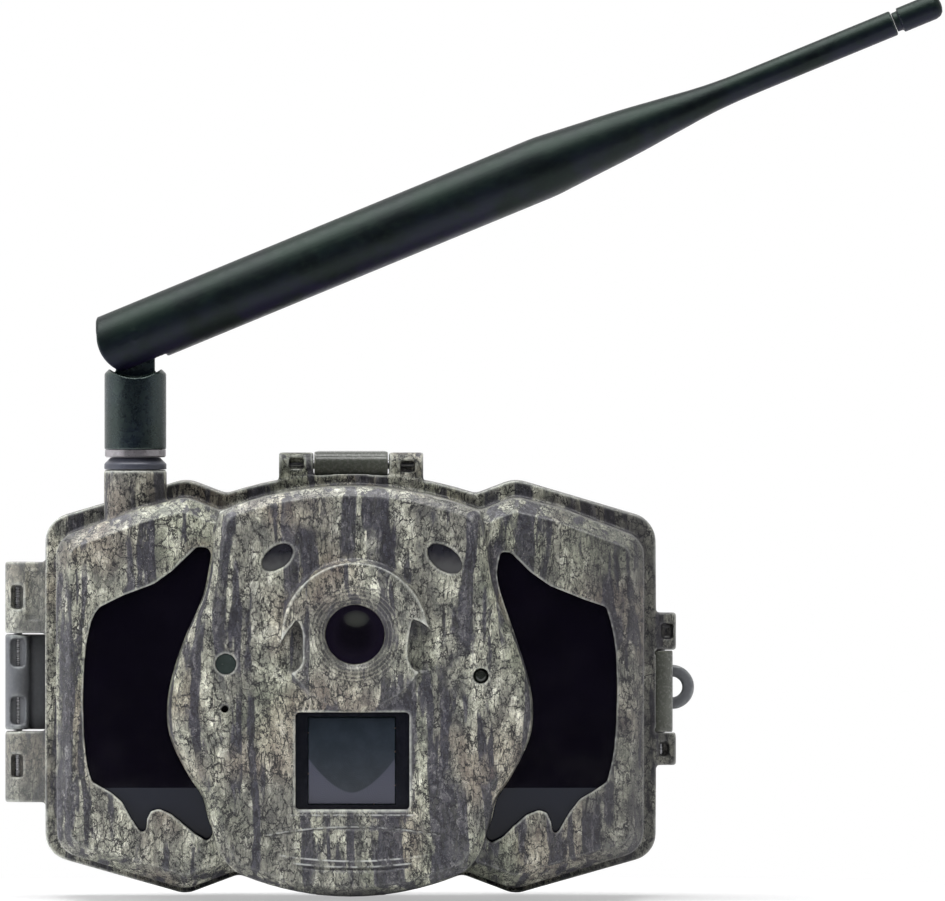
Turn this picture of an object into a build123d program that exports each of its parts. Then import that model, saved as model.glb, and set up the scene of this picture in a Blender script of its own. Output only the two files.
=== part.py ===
from build123d import *
import math
import os

os.makedirs("parts", exist_ok=True)

# Trail camera with a hinged case and a swivelling antenna, millimetres.
# +X is right seen from the front, the front faces -Y, +Z is up.
# Origin: mouth of the tripod socket, bottom centre.
# The front half holds camera and electronics, the rear half the batteries.
# In the names, BULGE is the proud centre of the face, WING the panel either
# side of it and POD the round boss of the camera lens.

# ------------------------------------------------------- shared dimensions
PARTING_Y = -12.0     # parting plane between front and rear half
PARTING_GAP = 0.25    # distance of each half from that plane
WALL = 2.3            # side wall of both shells
FACE_WALL = 2.4       # front wall of the front shell
FIT = 0.25            # gap between a shell wall and the panel inside it
WING_Y = -46.0        # front of the two wings
BULGE_Y = -51.5       # front of the centre bulge
POD_Y = -54.0         # front of the lens pod
RIM_Y = -18.0         # front edge of the rim flange of the front half
BACK_Y = 13.0         # back wall of the rear half
RIBS_Y = 24.0         # back of the strap ribs, rests on the tree

PIN_R = 1.0           # nominal radius of the hinge and latch pins
SHAFT_R = PIN_R - 0.03
LOOSE_BORE_R = PIN_R + 0.05
PIN_INSET = 0.3       # pin ends sit this far inside the lugs

HINGE = (-73.4, PARTING_Y)           # hinge axis in XY
HINGE_R = 2.8
HINGE_PLAY = 0.15                    # at each end of a lug or knuckle
LUG_HIGH = (57.9, 73.9)              # Z ranges
LUG_LOW = (20.6, 36.6)
KNUCKLE = (LUG_LOW[1], LUG_HIGH[0])

LATCH_Y = PARTING_Y - 3.0            # both latch pins
LATCH_LUG_R = 2.7
LATCH_PLAY = 0.2                     # at each end of a latch barrel
TOP_PIN = (LATCH_Y, 95.2)            # YZ
TOP_SPAN = (-15.8, 16.0)             # X range over the lugs
TOP_BAY = (-8.2, 8.4)                # X range between the lugs
SIDE_PIN_X = 68.3
SIDE_PIN = (SIDE_PIN_X, LATCH_Y)     # XY
SIDE_SPAN = (29.0, 62.6)             # Z range over the lugs
SIDE_BAY = (36.1, 54.4)              # Z range between the lugs

LENS_X, LENS_Z = 1.1, 58.3
LENS = (LENS_X, LENS_Z)
PIR_X0, PIR_X1, PIR_Z0, PIR_Z1 = -11.9, 13.0, 20.0, 41.2   # motion sensor opening
PIR_CENTRE = (0.5, 30.6)

# Small holes of the face, centres in XZ
SENSOR = (-27.2, 51.8)
MIC = (-27.4, 41.9)
LED = (28.7, 49.2)

ANTENNA_X, ANTENNA_Y = -47.3, -27.0
ANTENNA = (ANTENNA_X, ANTENNA_Y)     # antenna boss axis in XY
BOSS_R = 6.9
BOSS_BASE, BOSS_TOP = 78.0, 94.2
ELBOW_Z = 123.7                      # elbow pin height
ELBOW_TILT = 22.4                    # whip angle above level, degrees

EYE_X, EYE_Z = 70.9, 46.0            # padlock eye
EYE_R, EYE_HOLE_R = 4.9, 2.3
EYE_HALF = 4.6                       # half height of the eye's arm

POWER_X = 42.0
POWER = (POWER_X, 0.5)               # power socket axis in XY

# Screw centres in XZ
SCREWS_REAR = [(-52, 14), (52, 14), (-40, 83.0), (40, 83.0)]
SCREWS_FRONT = [(-52, 14), (52, 14), (-40, 80.8), (40, 80.8)]
POST_R, POST_BORE_R = 2.8, 1.25
SCREW_HOLE_R, SCREW_SINK_R = 1.6, 2.7

CUT = Mode.SUBTRACT


# ----------------------------------------------------------------- helpers
def at_y(y):
    """Drawing plane at depth y: local axes X and Z, extrudes towards -Y."""
    return Plane.XZ.offset(-y)


def rect(x0, x1, z0, z1):
    """Rectangle between limits, in the open sketch."""
    with Locations(((x0 + x1) / 2, (z0 + z1) / 2)):
        Rectangle(x1 - x0, z1 - z0)


def rects(width, height, *places):
    """Equal rectangles centred on places, in the open sketch."""
    with Locations(*places):
        Rectangle(width, height)


def discs(radius, *places, mode=Mode.ADD):
    """Equal circles centred on places, in the open sketch."""
    with Locations(*places):
        Circle(radius, mode=mode)


def inset(outline, amount):
    """The outline shrunk by amount, in the open sketch."""
    add(outline)
    offset(amount=-amount, mode=Mode.REPLACE)


def about_lens(half_width, half_height):
    """Limits of a rectangle centred on the lens axis."""
    return (LENS_X - half_width, LENS_X + half_width,
            LENS_Z - half_height, LENS_Z + half_height)


def mirrored(points):
    return [(-x, z) for x, z in points]


def save(builder, name):
    builder.part.label = name
    export_step(builder.part, f"parts/{name}.step")


def disc_piece(name, centre, steps, cuts=()):
    """Coaxial discs along Y. Steps and cuts: (back y, radius, length to the front)."""
    with BuildPart() as piece:
        for y, radius, length in steps:
            with BuildSketch(at_y(y)):
                discs(radius, centre)
            extrude(amount=length)
        for y, radius, length in cuts:
            with BuildSketch(at_y(y)):
                discs(radius, centre)
            extrude(amount=length, mode=CUT)
    save(piece, name)


def block_piece(name, steps, cuts=()):
    """Blocks. Steps and cuts: (back y, (x0, x1, z0, z1), length to the front)."""
    with BuildPart() as piece:
        for y, limits, length in steps:
            with BuildSketch(at_y(y)):
                rect(*limits)
            extrude(amount=length)
        for y, limits, length in cuts:
            with BuildSketch(at_y(y)):
                rect(*limits)
            extrude(amount=length, mode=CUT)
    save(piece, name)


def screws(name, places, head_y, shank_way):
    """Pan-head screws with a cross recess; shank_way is 1 to +Y, -1 to -Y."""
    head_length = 1.1
    with BuildPart() as piece:
        with BuildSketch(at_y(head_y)):
            discs(2.4, *places)
        extrude(amount=-head_length * shank_way)
        with BuildSketch(at_y(head_y + head_length * shank_way)):
            discs(1.2, *places)
        extrude(amount=-10.0 * shank_way)
        with BuildSketch(at_y(head_y)):
            rects(2.6, 0.6, *places)
            rects(0.6, 2.6, *places)
        extrude(amount=-0.7 * shank_way, mode=CUT)
    save(piece, name)


# ----------------------------------------------------------- outlines (XZ)
# Right half from top to bottom: x, z, corner radius (0 leaves it sharp)
REAR_HALF = [
    (27.5, 88.7, 3), (36.2, 92.0, 7), (67.2, 82.8, 6), (67.3, 65.0, 0),
    (67.3, 25.0, 0), (67.2, 9.4, 6), (36.2, 0.6, 6), (24.5, 5.0, 3)]
FRONT_HALF = [
    (28.5, 85.2, 3), (36.0, 88.3, 6), (46.0, 85.9, 14), (64.5, 79.0, 5.2), (64.5, 60.0, 0),
    (64.4, 25.0, 0), (64.3, 10.8, 5.5), (36.0, 2.2, 6), (25.2, 6.3, 3)]
FRONT_TOP, FRONT_BOTTOM = 90.7, 0.9     # arc crowns on the centre line

# Right flank of the bulge from top to bottom: x, z
BULGE_SIDE = [
    (28.5, 85.2), (30.3, 74.6), (31.5, 68.0), (33.3, 63.2), (35.5, 58.4), (37.6, 52.8),
    (39.2, 46.9), (39.8, 41.5), (39.4, 36.8), (37.7, 32.2), (35.0, 27.2), (31.9, 22.4),
    (30.3, 16.5), (25.2, 6.3)]


def near(x, z, tolerance=0.6):
    """Filter for vertices at (x, z) or its mirror image."""
    return lambda v: abs(abs(v.X) - x) < tolerance and abs(v.Y - z) < tolerance


def housing(half, top, bottom):
    """Closed symmetric housing outline with rounded corners."""
    right = [(x, z) for x, z, radius in half]
    left = mirrored(right)
    with BuildSketch() as sketch:
        with BuildLine():
            ThreePointArc(left[0], (0, top), right[0])
            Polyline(*right)
            ThreePointArc(right[-1], (0, bottom), left[-1])
            Polyline(*left)
        make_face()
        for x, z, radius in half:
            if radius:
                fillet(sketch.vertices().filter_by(near(x, z)), radius)
    return sketch.sketch


def smooth(points, steps=3):
    """Fine polyline through the points (Catmull-Rom)."""
    fine = []
    for i in range(len(points) - 1):
        before, start, end = points[max(i - 1, 0)], points[i], points[i + 1]
        after = points[min(i + 2, len(points) - 1)]
        for k in range(steps):
            t = k / steps
            fine.append(tuple(
                0.5 * (2 * b + (c - a) * t + (2 * a - 5 * b + 4 * c - d) * t * t
                       + (3 * b - a - 3 * c + d) * t ** 3)
                for a, b, c, d in zip(before, start, end, after)))
    fine.append(points[-1])
    return fine


def bulge(flank_curve, side, grow=0):
    """Bulge outline with the given curve class as flanks, grown outwards."""
    left = mirrored(side)
    with BuildSketch() as sketch:
        with BuildLine():
            ThreePointArc(left[0], (0, FRONT_TOP), side[0])
            flank_curve(*side)
            ThreePointArc(side[-1], (0, FRONT_BOTTOM), left[-1])
            flank_curve(*left)
        make_face()
        if grow:
            offset(amount=grow, mode=Mode.REPLACE)
    return sketch.sketch


REAR_OUT = housing(REAR_HALF, 93.2, 0.0)
FRONT_OUT = housing(FRONT_HALF, FRONT_TOP, FRONT_BOTTOM)
BULGE_OUT = bulge(Spline, BULGE_SIDE)
BULGE_IN = bulge(Polyline, smooth(BULGE_SIDE), -2.5)       # cavity of the bulge
BULGE_CLEAR = bulge(Polyline, smooth(BULGE_SIDE), 0.35)    # keeps the windows off its flank

# Edges of the two infrared windows, x, z; each edge starts where the last ends
WINDOW_LEFT_INNER = [
    (-31.14, 77.19), (-30.04, 74.12), (-31.14, 67.54), (-33.33, 62.72), (-36.18, 56.14),
    (-38.82, 47.81), (-39.69, 40.79), (-38.16, 33.77), (-35.09, 27.19), (-31.80, 23.03),
    (-30.04, 17.54), (-30.26, 14.04)]
WINDOW_LEFT_LOWER = [
    (-30.26, 14.04), (-31.36, 12.94), (-33.99, 14.47), (-36.62, 16.67), (-39.25, 18.86),
    (-41.89, 19.96), (-43.64, 19.52), (-44.52, 17.76), (-44.74, 15.35), (-45.83, 14.69),
    (-48.25, 18.20), (-50.00, 21.49), (-52.63, 23.68), (-56.58, 25.88)]
WINDOW_LEFT_OUTER = [
    (-56.58, 25.88), (-57.68, 29.82), (-58.33, 36.18), (-58.55, 43.86), (-58.33, 50.44),
    (-57.68, 57.02), (-56.36, 62.06), (-54.82, 64.25)]
WINDOW_LEFT_UPPER = [
    (-54.82, 64.25), (-50.00, 66.67), (-42.98, 69.30), (-39.04, 72.15), (-33.55, 77.41),
    (-31.14, 77.19)]

WINDOW_RIGHT_INNER = [
    (33.11, 76.32), (32.24, 71.93), (33.11, 67.11), (35.96, 58.77), (38.16, 51.75),
    (39.69, 43.86), (39.69, 39.04), (38.38, 33.33), (35.31, 26.97), (32.02, 21.93),
    (30.04, 17.11), (29.82, 13.60)]
WINDOW_RIGHT_LOWER = [
    (29.82, 13.60), (30.92, 12.50), (33.55, 13.82), (35.96, 16.23), (38.60, 18.64),
    (41.45, 19.74), (43.20, 19.08), (44.08, 17.11), (44.52, 14.47), (45.61, 14.91),
    (48.03, 19.08), (50.44, 22.15), (53.07, 23.68), (56.36, 25.88)]
WINDOW_RIGHT_OUTER = [
    (56.36, 25.88), (57.68, 31.58), (58.33, 38.38), (58.55, 46.05), (58.33, 53.73),
    (57.46, 59.65), (56.14, 64.25)]
WINDOW_RIGHT_UPPER = [
    (56.14, 64.25), (51.54, 65.79), (43.86, 68.86), (39.47, 71.93), (35.31, 76.10),
    (33.11, 76.32)]


def window(inner, lower, outer, upper):
    """Window face; only the side edges are smoothed."""
    with BuildSketch() as sketch:
        with BuildLine():
            Polyline(*smooth(inner))
            Polyline(*lower)
            Polyline(*smooth(outer))
            Polyline(*upper)
        make_face()
        add(BULGE_CLEAR, mode=CUT)
    return sketch.sketch.faces().sort_by(SortBy.AREA)[-1]


WINDOW_LEFT = window(
    WINDOW_LEFT_INNER, WINDOW_LEFT_LOWER, WINDOW_LEFT_OUTER, WINDOW_LEFT_UPPER)
WINDOW_RIGHT = window(
    WINDOW_RIGHT_INNER, WINDOW_RIGHT_LOWER, WINDOW_RIGHT_OUTER, WINDOW_RIGHT_UPPER)

# Oval lights: x, z, rotation in degrees, half axes
OVALS = [(-15.9, 75.2, 38, 3.9, 2.4), (20.8, 74.9, -36, 4.4, 2.6)]

# Teardrop dimples either side of the lens, closed: x, z
DROPS = [
    [(-11.6, 61.6), (-13.9, 58.6), (-15.7, 54.6), (-15.1, 51.2), (-12.4, 50.1),
     (-10.6, 51.9), (-10.3, 55.2), (-10.4, 58.6), (-11.6, 61.6)],
    [(13.6, 61.7), (13.0, 58.2), (12.7, 54.4), (13.7, 51.0), (16.4, 50.0),
     (18.9, 51.6), (19.4, 55.2), (17.9, 59.0), (13.6, 61.7)]]

# Stepped recess round the lens: radius, depth from the pod front
LENS_STEPS = [(10.5, 0.5), (9.5, 1.1), (8.5, 1.7), (7.5, 2.2)]

# ============================================================== FRONT HALF
with BuildPart() as front_shell:
    # wings: main body with a bevel round its face
    with BuildSketch(at_y(RIM_Y + 1)):
        add(FRONT_OUT)
    extrude(amount=RIM_Y + 1 - WING_Y)
    chamfer(front_shell.faces().sort_by(Axis.Y)[0].edges(), length=3.6, length2=3.0)
    # centre bulge, standing proud of the wings
    with BuildSketch(at_y(RIM_Y + 1)):
        add(BULGE_OUT)
    extrude(amount=RIM_Y + 1 - BULGE_Y)
    chamfer(front_shell.faces().sort_by(Axis.Y)[0].edges(), length=2.1)
    # rim flange that meets the rear half
    with BuildSketch(at_y(PARTING_Y - PARTING_GAP)):
        add(REAR_OUT)
    extrude(amount=PARTING_Y - PARTING_GAP - RIM_Y)
    # antenna boss on the left shoulder
    with BuildSketch(Plane.XY.offset(BOSS_BASE)):
        discs(BOSS_R, ANTENNA)
    extrude(amount=BOSS_TOP - BOSS_BASE)
    # lens pod: low round boss whose front leans back and runs out into the face
    with BuildSketch(at_y(BULGE_Y + 0.5)):
        discs(16.6, LENS)
    extrude(amount=BULGE_Y + 0.5 - POD_Y, taper=16)
    with BuildSketch(Plane.YZ.offset(-20)):
        with BuildLine():
            Polyline((POD_Y, 69.0), (BULGE_Y - 0.45, 41.5), (POD_Y - 2, 41.5),
                     (POD_Y - 2, 69.0), close=True)
        make_face()
    extrude(amount=40, mode=CUT)
    # hinge lugs
    for z0, z1 in (LUG_HIGH, LUG_LOW):
        with BuildSketch(Plane.XY.offset(z0 + HINGE_PLAY)):
            discs(HINGE_R, HINGE)
            rects(7.0, 2.8, (-69.9, PARTING_Y - 1.65))
        extrude(amount=z1 - z0 - 2 * HINGE_PLAY)
    # top latch lugs
    for x0, x1 in ((TOP_SPAN[0], TOP_BAY[0]), (TOP_BAY[1], TOP_SPAN[1])):
        with BuildSketch(Plane.YZ.offset(x0)):
            discs(LATCH_LUG_R, TOP_PIN)
            rects(5.2, 6.4, (LATCH_Y + 0.02, TOP_PIN[1] - 3.2))
        extrude(amount=x1 - x0)
    # side latch lugs
    for z0, z1 in ((SIDE_BAY[1], SIDE_SPAN[1]), (SIDE_SPAN[0], SIDE_BAY[0])):
        with BuildSketch(Plane.XY.offset(z0)):
            discs(LATCH_LUG_R, SIDE_PIN)
            rects(5.2, 5.4, (SIDE_PIN_X - 2.6, LATCH_Y))
            rects(4.0, 4.6, (SIDE_PIN_X + 1.4, LATCH_Y - 0.2))
        extrude(amount=z1 - z0)

    # hollow inside
    with BuildSketch(at_y(PARTING_Y + 1)):
        inset(FRONT_OUT, WALL)
    extrude(amount=PARTING_Y + 1 - (WING_Y + FACE_WALL), mode=CUT)
    with BuildSketch(at_y(PARTING_Y + 1)):
        add(BULGE_IN)
    extrude(amount=PARTING_Y + 1 - (BULGE_Y + FACE_WALL), mode=CUT)

    # screw posts of the inner panel
    with BuildSketch(at_y(-17.0)):
        discs(POST_R, *SCREWS_FRONT)
        discs(POST_BORE_R, *SCREWS_FRONT, mode=CUT)
    extrude(amount=26.9)
    # infrared window openings
    with BuildSketch(at_y(WING_Y + 6)):
        add(WINDOW_LEFT)
        add(WINDOW_RIGHT)
    extrude(amount=7.0, mode=CUT)
    # lens opening: stepped cone, ledge for the glass, hole for the barrel
    with BuildSketch(at_y(POD_Y - 0.01)):
        discs(10.4, LENS)
    with BuildSketch(at_y(POD_Y + 2.6)):
        discs(6.6, LENS)
    loft(mode=CUT)
    for radius, depth in LENS_STEPS:
        with BuildSketch(at_y(POD_Y - 0.01)):
            discs(radius, LENS)
        extrude(amount=-depth, mode=CUT)
    for radius, depth in ((6.5, 4.0), (5.4, 8.0)):
        with BuildSketch(at_y(POD_Y)):
            discs(radius, LENS)
        extrude(amount=-depth, mode=CUT)
    # motion sensor opening
    with BuildSketch(at_y(BULGE_Y + 4)):
        rect(PIR_X0, PIR_X1, PIR_Z0, PIR_Z1)
    extrude(amount=6.0, mode=CUT)
    # recesses of the oval lights, 1.2 deep, and teardrop dimples
    for x, z, angle, half_long, half_short in OVALS:
        with BuildSketch(at_y(BULGE_Y - 0.5)):
            with Locations((x, z)):
                Ellipse(half_long, half_short, rotation=angle)
        extrude(amount=-(1.2 + 0.5), mode=CUT)
    for drop in DROPS:
        with BuildSketch(at_y(POD_Y - 0.5)):
            with BuildLine():
                Spline(*drop)
            make_face()
        extrude(amount=-3.6, mode=CUT)
    # light sensor, microphone and status light holes
    for place, radius in ((SENSOR, 2.25), (MIC, 0.8), (LED, 1.7)):
        with BuildSketch(at_y(BULGE_Y - 1)):
            discs(radius, place)
        extrude(amount=-6.0, mode=CUT)
    # three shallow grooves below the motion sensor: two arched, one straight
    with BuildSketch(at_y(BULGE_Y - 1)):
        with BuildLine():
            ThreePointArc((-18.8, 14.4), (0.6, 16.4), (19.9, 14.8))
            Line((19.9, 14.8), (19.9, 14.0))
            ThreePointArc((19.9, 14.0), (0.6, 15.5), (-18.8, 13.6))
            Line((-18.8, 13.6), (-18.8, 14.4))
        make_face()
        with BuildLine():
            ThreePointArc((-12.0, 8.0), (0.6, 7.2), (13.5, 8.0))
            Line((13.5, 8.0), (13.5, 7.1))
            ThreePointArc((13.5, 7.1), (0.6, 6.2), (-12.0, 7.1))
            Line((-12.0, 7.1), (-12.0, 8.0))
        make_face()
        rect(-13.0, 14.9, 18.2, 18.9)
    extrude(amount=-1.65, mode=CUT)

    # antenna connector bore through the boss
    with BuildSketch(Plane.XY.offset(70)):
        discs(3.3, ANTENNA)
    extrude(amount=30, mode=CUT)
    # hinge pin bore, windows in the hinge lugs, relief beside the upper lug
    with BuildSketch(Plane.XY.offset(LUG_LOW[0] - 2)):
        discs(PIN_R, HINGE)
    extrude(amount=60, mode=CUT)
    for z0, z1 in ((63.4, 68.6), (26.3, 31.3)):
        with BuildSketch(at_y(PARTING_Y - 4)):
            rect(-74.8, -72.2, z0, z1)
        extrude(amount=-2.95, mode=CUT)
    with BuildSketch(at_y(PARTING_Y - 4)):
        rect(-71.5, -67.8, 60.7, 71.7)
    extrude(amount=-1.5, mode=CUT)
    # latch pin bores and pockets for the latch barrels
    with BuildSketch(Plane.YZ.offset(-20)):
        discs(PIN_R, TOP_PIN)
    extrude(amount=40, mode=CUT)
    with BuildSketch(Plane.YZ.offset(TOP_BAY[0])):
        discs(3.2, TOP_PIN)
    extrude(amount=TOP_BAY[1] - TOP_BAY[0], mode=CUT)
    with BuildSketch(Plane.XY.offset(27)):
        discs(PIN_R, SIDE_PIN)
    extrude(amount=37, mode=CUT)
    with BuildSketch(Plane.XY.offset(SIDE_BAY[0])):
        discs(2.95, SIDE_PIN)
    extrude(amount=SIDE_BAY[1] - SIDE_BAY[0], mode=CUT)
    # windows in the latch lugs, the two top ones first
    for limits in ((-13.6, -10.3, 94.3, 96.6), (11.0, 14.2, 93.5, 96.0),
                   (68.4, 71.0, 56.8, 60.1), (68.0, 70.1, 30.9, 34.0)):
        with BuildSketch(at_y(LATCH_Y - 4)):
            rect(*limits)
        extrude(amount=-2.9, mode=CUT)
    # small round opening in the underside
    with BuildSketch(Plane.XY.offset(-1)):
        discs(2.6, (POWER_X, -30.0))
    extrude(amount=12, mode=CUT)
save(front_shell, "front_shell")

# ---------------------------------------------------------- pins and latches
with BuildPart() as hinge_pin:
    with BuildSketch(Plane.XY.offset(LUG_LOW[0] + PIN_INSET)):
        discs(SHAFT_R, HINGE)
    extrude(amount=LUG_HIGH[1] - LUG_LOW[0] - 2 * PIN_INSET)
    chamfer(hinge_pin.edges().filter_by(GeomType.CIRCLE), 0.2)
save(hinge_pin, "hinge_pin")

with BuildPart() as latch_pins:
    with BuildSketch(Plane.YZ.offset(TOP_SPAN[0] + PIN_INSET)):
        discs(SHAFT_R, TOP_PIN)
    extrude(amount=TOP_SPAN[1] - TOP_SPAN[0] - 2 * PIN_INSET)
    with BuildSketch(Plane.XY.offset(SIDE_SPAN[0] + PIN_INSET)):
        discs(SHAFT_R, SIDE_PIN)
    extrude(amount=SIDE_SPAN[1] - SIDE_SPAN[0] - 2 * PIN_INSET)
save(latch_pins, "latch_pins")

# latches: barrel on the pin, flat hooked lever reaching over the parting line
with BuildPart() as top_latch:
    with BuildSketch(Plane.YZ.offset(TOP_BAY[0] + LATCH_PLAY)):
        discs(2.9, TOP_PIN)
    extrude(amount=TOP_BAY[1] - TOP_BAY[0] - 2 * LATCH_PLAY)
    with BuildSketch(Plane.YZ.offset(TOP_BAY[0] + 0.6)):
        with BuildLine():
            Polyline((LATCH_Y, 98.1), (-1.0, 98.1), (1.2, 97.4), (1.6, 94.4), (0.4, 94.4),
                     (-0.6, 95.9), (LATCH_Y, 95.9), close=True)
        make_face()
    extrude(amount=TOP_BAY[1] - TOP_BAY[0] - 2 * 0.6)
    with BuildSketch(Plane.YZ.offset(-9)):
        discs(LOOSE_BORE_R, TOP_PIN)
    extrude(amount=18.5, mode=CUT)
save(top_latch, "top_latch")

with BuildPart() as side_latch:
    with BuildSketch(Plane.XY.offset(SIDE_BAY[0] + LATCH_PLAY)):
        discs(2.7, SIDE_PIN)
    extrude(amount=SIDE_BAY[1] - SIDE_BAY[0] - 2 * LATCH_PLAY)
    with BuildSketch(Plane.XY.offset(SIDE_BAY[0] + 0.5)):
        with BuildLine():
            Polyline((71.0, LATCH_Y), (71.0, -1.0), (70.3, 1.2), (68.5, 1.6), (68.5, 0.4),
                     (69.1, -0.6), (69.1, LATCH_Y), close=True)
        make_face()
    extrude(amount=SIDE_BAY[1] - SIDE_BAY[0] - 2 * 0.5)
    # fork slot round the padlock eye
    with BuildSketch(Plane.YZ.offset(66)):
        with BuildLine():
            Polyline((PARTING_Y + 1.2, EYE_Z - 5.2), (3, EYE_Z - 5.2), (3, EYE_Z + 5.2),
                     (PARTING_Y + 1.2, EYE_Z + 5.2), close=True)
        make_face()
    extrude(amount=8, mode=CUT)
    with BuildSketch(Plane.XY.offset(36)):
        discs(LOOSE_BORE_R, SIDE_PIN)
    extrude(amount=19, mode=CUT)
save(side_latch, "side_latch")


# ---------------------------------------------------------- infrared lights
def ir_window(outline, name):
    """Flat window with a creased lower facet and a flange behind the shell."""
    with BuildPart() as piece:
        with BuildSketch(at_y(WING_Y + 3.7)):
            add(outline)
            offset(amount=-0.12, mode=Mode.REPLACE)
        extrude(amount=2.5)
        with BuildSketch(Plane.YZ.offset(-70)):
            with BuildLine():
                Polyline((WING_Y + 1.19, 24.6), (WING_Y - 3, 24.6), (WING_Y - 3, 12.0),
                         (WING_Y + 2.56, 12.0), close=True)
            make_face()
        extrude(amount=140, mode=CUT)
        with BuildSketch(at_y(WING_Y + 4.0)):
            add(outline)
            offset(amount=1.3, mode=Mode.REPLACE)
        extrude(amount=1.4)
    save(piece, name)


ir_window(WINDOW_LEFT, "ir_window_left")
ir_window(WINDOW_RIGHT, "ir_window_right")

LED_BOARD_X = 49.8
LED_BOARD_Y = -31.4
LED_BOARD_THICK = 1.6
LED_ROWS, LED_ROW_PITCH = 7, 6.4
LED_COLUMNS, LED_COLUMN_PITCH = 3, 6.0
LED_INNER_X, LED_LOWEST_Z = 44.5, 30.0


def led_grid(side):
    """LED centres on one side (-1 left, 1 right); top three rows step inwards."""
    return [(side * (LED_INNER_X + column * LED_COLUMN_PITCH - max(row - 3, 0)),
             LED_LOWEST_Z + row * LED_ROW_PITCH)
            for row in range(LED_ROWS) for column in range(LED_COLUMNS)]


with BuildPart() as led_boards:
    with BuildSketch(at_y(LED_BOARD_Y)):
        with Locations((-LED_BOARD_X, 49.0), (LED_BOARD_X, 49.0)):
            RectangleRounded(21.0, 50.0, 3)
    extrude(amount=LED_BOARD_THICK)
    with BuildSketch(at_y(LED_BOARD_Y)):
        discs(1.3, *[(x, z) for x in (-LED_BOARD_X, LED_BOARD_X) for z in (26.6, 71.6)])
    extrude(amount=LED_BOARD_THICK, mode=CUT)
save(led_boards, "led_boards")

with BuildPart() as ir_leds:
    with BuildSketch(at_y(LED_BOARD_Y - LED_BOARD_THICK - 0.05)):
        discs(2.5, *led_grid(-1), *led_grid(1))
    extrude(amount=6.2)
    fillet(ir_leds.faces().filter_by(Axis.Y).group_by(Axis.Y)[0].edges(), 2.2)
save(ir_leds, "ir_leds")

# --------------------------------------------------------------- lens stack
disc_piece("lens_window", LENS, [(POD_Y + 3.9, 6.4, 1.1)])

with BuildPart() as lens_barrel:
    with BuildSketch(at_y(-36.7)):
        discs(6.8, LENS)
        discs(4.6, LENS, mode=CUT)
    extrude(amount=12.2)
    with BuildSketch(at_y(-47.6)):
        discs(4.7, LENS)
        discs(2.6, LENS, mode=CUT)
    extrude(amount=1.3)
    # three grooves round the outside
    for k in range(3):
        with BuildSketch(at_y(-38.4 - k * 2.6)):
            discs(6.9, LENS)
            discs(6.4, LENS, mode=CUT)
        extrude(amount=0.9, mode=CUT)
save(lens_barrel, "lens_barrel")

# Lens elements: y of the rim's front edge, rim thickness, bulge to the front
ELEMENTS = [(-46.6, 1.6, 1.4), (-42.6, 1.4, 0.9), (-39.0, 1.2, 0.8)]
ELEMENT_R = 4.45
with BuildPart() as lens_elements:
    with BuildSketch(Plane.XY.offset(LENS_Z)):
        for y, thick, sag in ELEMENTS:
            with BuildLine():
                ThreePointArc((LENS_X, y - sag), (LENS_X + 2.4, y - sag * 0.72),
                              (LENS_X + ELEMENT_R, y))
                Line((LENS_X + ELEMENT_R, y), (LENS_X + ELEMENT_R, y + thick))
                Line((LENS_X + ELEMENT_R, y + thick), (LENS_X, y + thick))
                Line((LENS_X, y + thick), (LENS_X, y - sag))
            make_face()
    revolve(axis=Axis((LENS_X, 0, LENS_Z), (0, 1, 0)))
save(lens_elements, "lens_elements")

HOLDER_Y = -32.0
with BuildPart() as lens_holder:
    with BuildSketch(at_y(HOLDER_Y)):
        rect(*about_lens(14, 9))
    extrude(amount=4.6)
    with BuildSketch(at_y(HOLDER_Y)):
        rect(*about_lens(12.5, 7.5))
    extrude(amount=3.4, mode=CUT)
    with BuildSketch(at_y(HOLDER_Y)):
        discs(4.4, LENS)
    extrude(amount=5, mode=CUT)
save(lens_holder, "lens_holder")

# Slider with two filters, one on the lens axis and one beside it
FILTERS = (LENS, (LENS_X - 6.5, LENS_Z))
with BuildPart() as ir_cut_slider:
    with BuildSketch(at_y(-34.3)):
        rect(LENS_X - 11.9, LENS_X + 5.1, LENS_Z - 5.6, LENS_Z + 5.6)
        discs(2.9, *FILTERS, mode=CUT)
    extrude(amount=0.8)
save(ir_cut_slider, "ir_cut_slider")

with BuildPart() as ir_cut_filters:
    with BuildSketch(at_y(-34.45)):
        discs(2.85, *FILTERS)
    extrude(amount=0.5)
save(ir_cut_filters, "ir_cut_filters")

block_piece("sensor_board", [(-30.3, about_lens(14, 9), 1.6)])
block_piece("image_sensor", [(-31.95, about_lens(4.5, 3.6), 1.2)])

# ------------------------------------------------------------ motion sensor
block_piece(
    "pir_bezel",
    steps=[(BULGE_Y + 2.6, (PIR_X0 + 0.1, PIR_X1 - 0.1, PIR_Z0 + 0.1, PIR_Z1 - 0.1), 1.2),
           (BULGE_Y + 3.4, (PIR_X0 - 1.2, PIR_X1 + 1.2, PIR_Z0 - 1.2, PIR_Z1 + 1.2), 0.9)],
    cuts=[(BULGE_Y + 5, (-9.2, 10.0, 21.0, 40.2), 6)])

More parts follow.
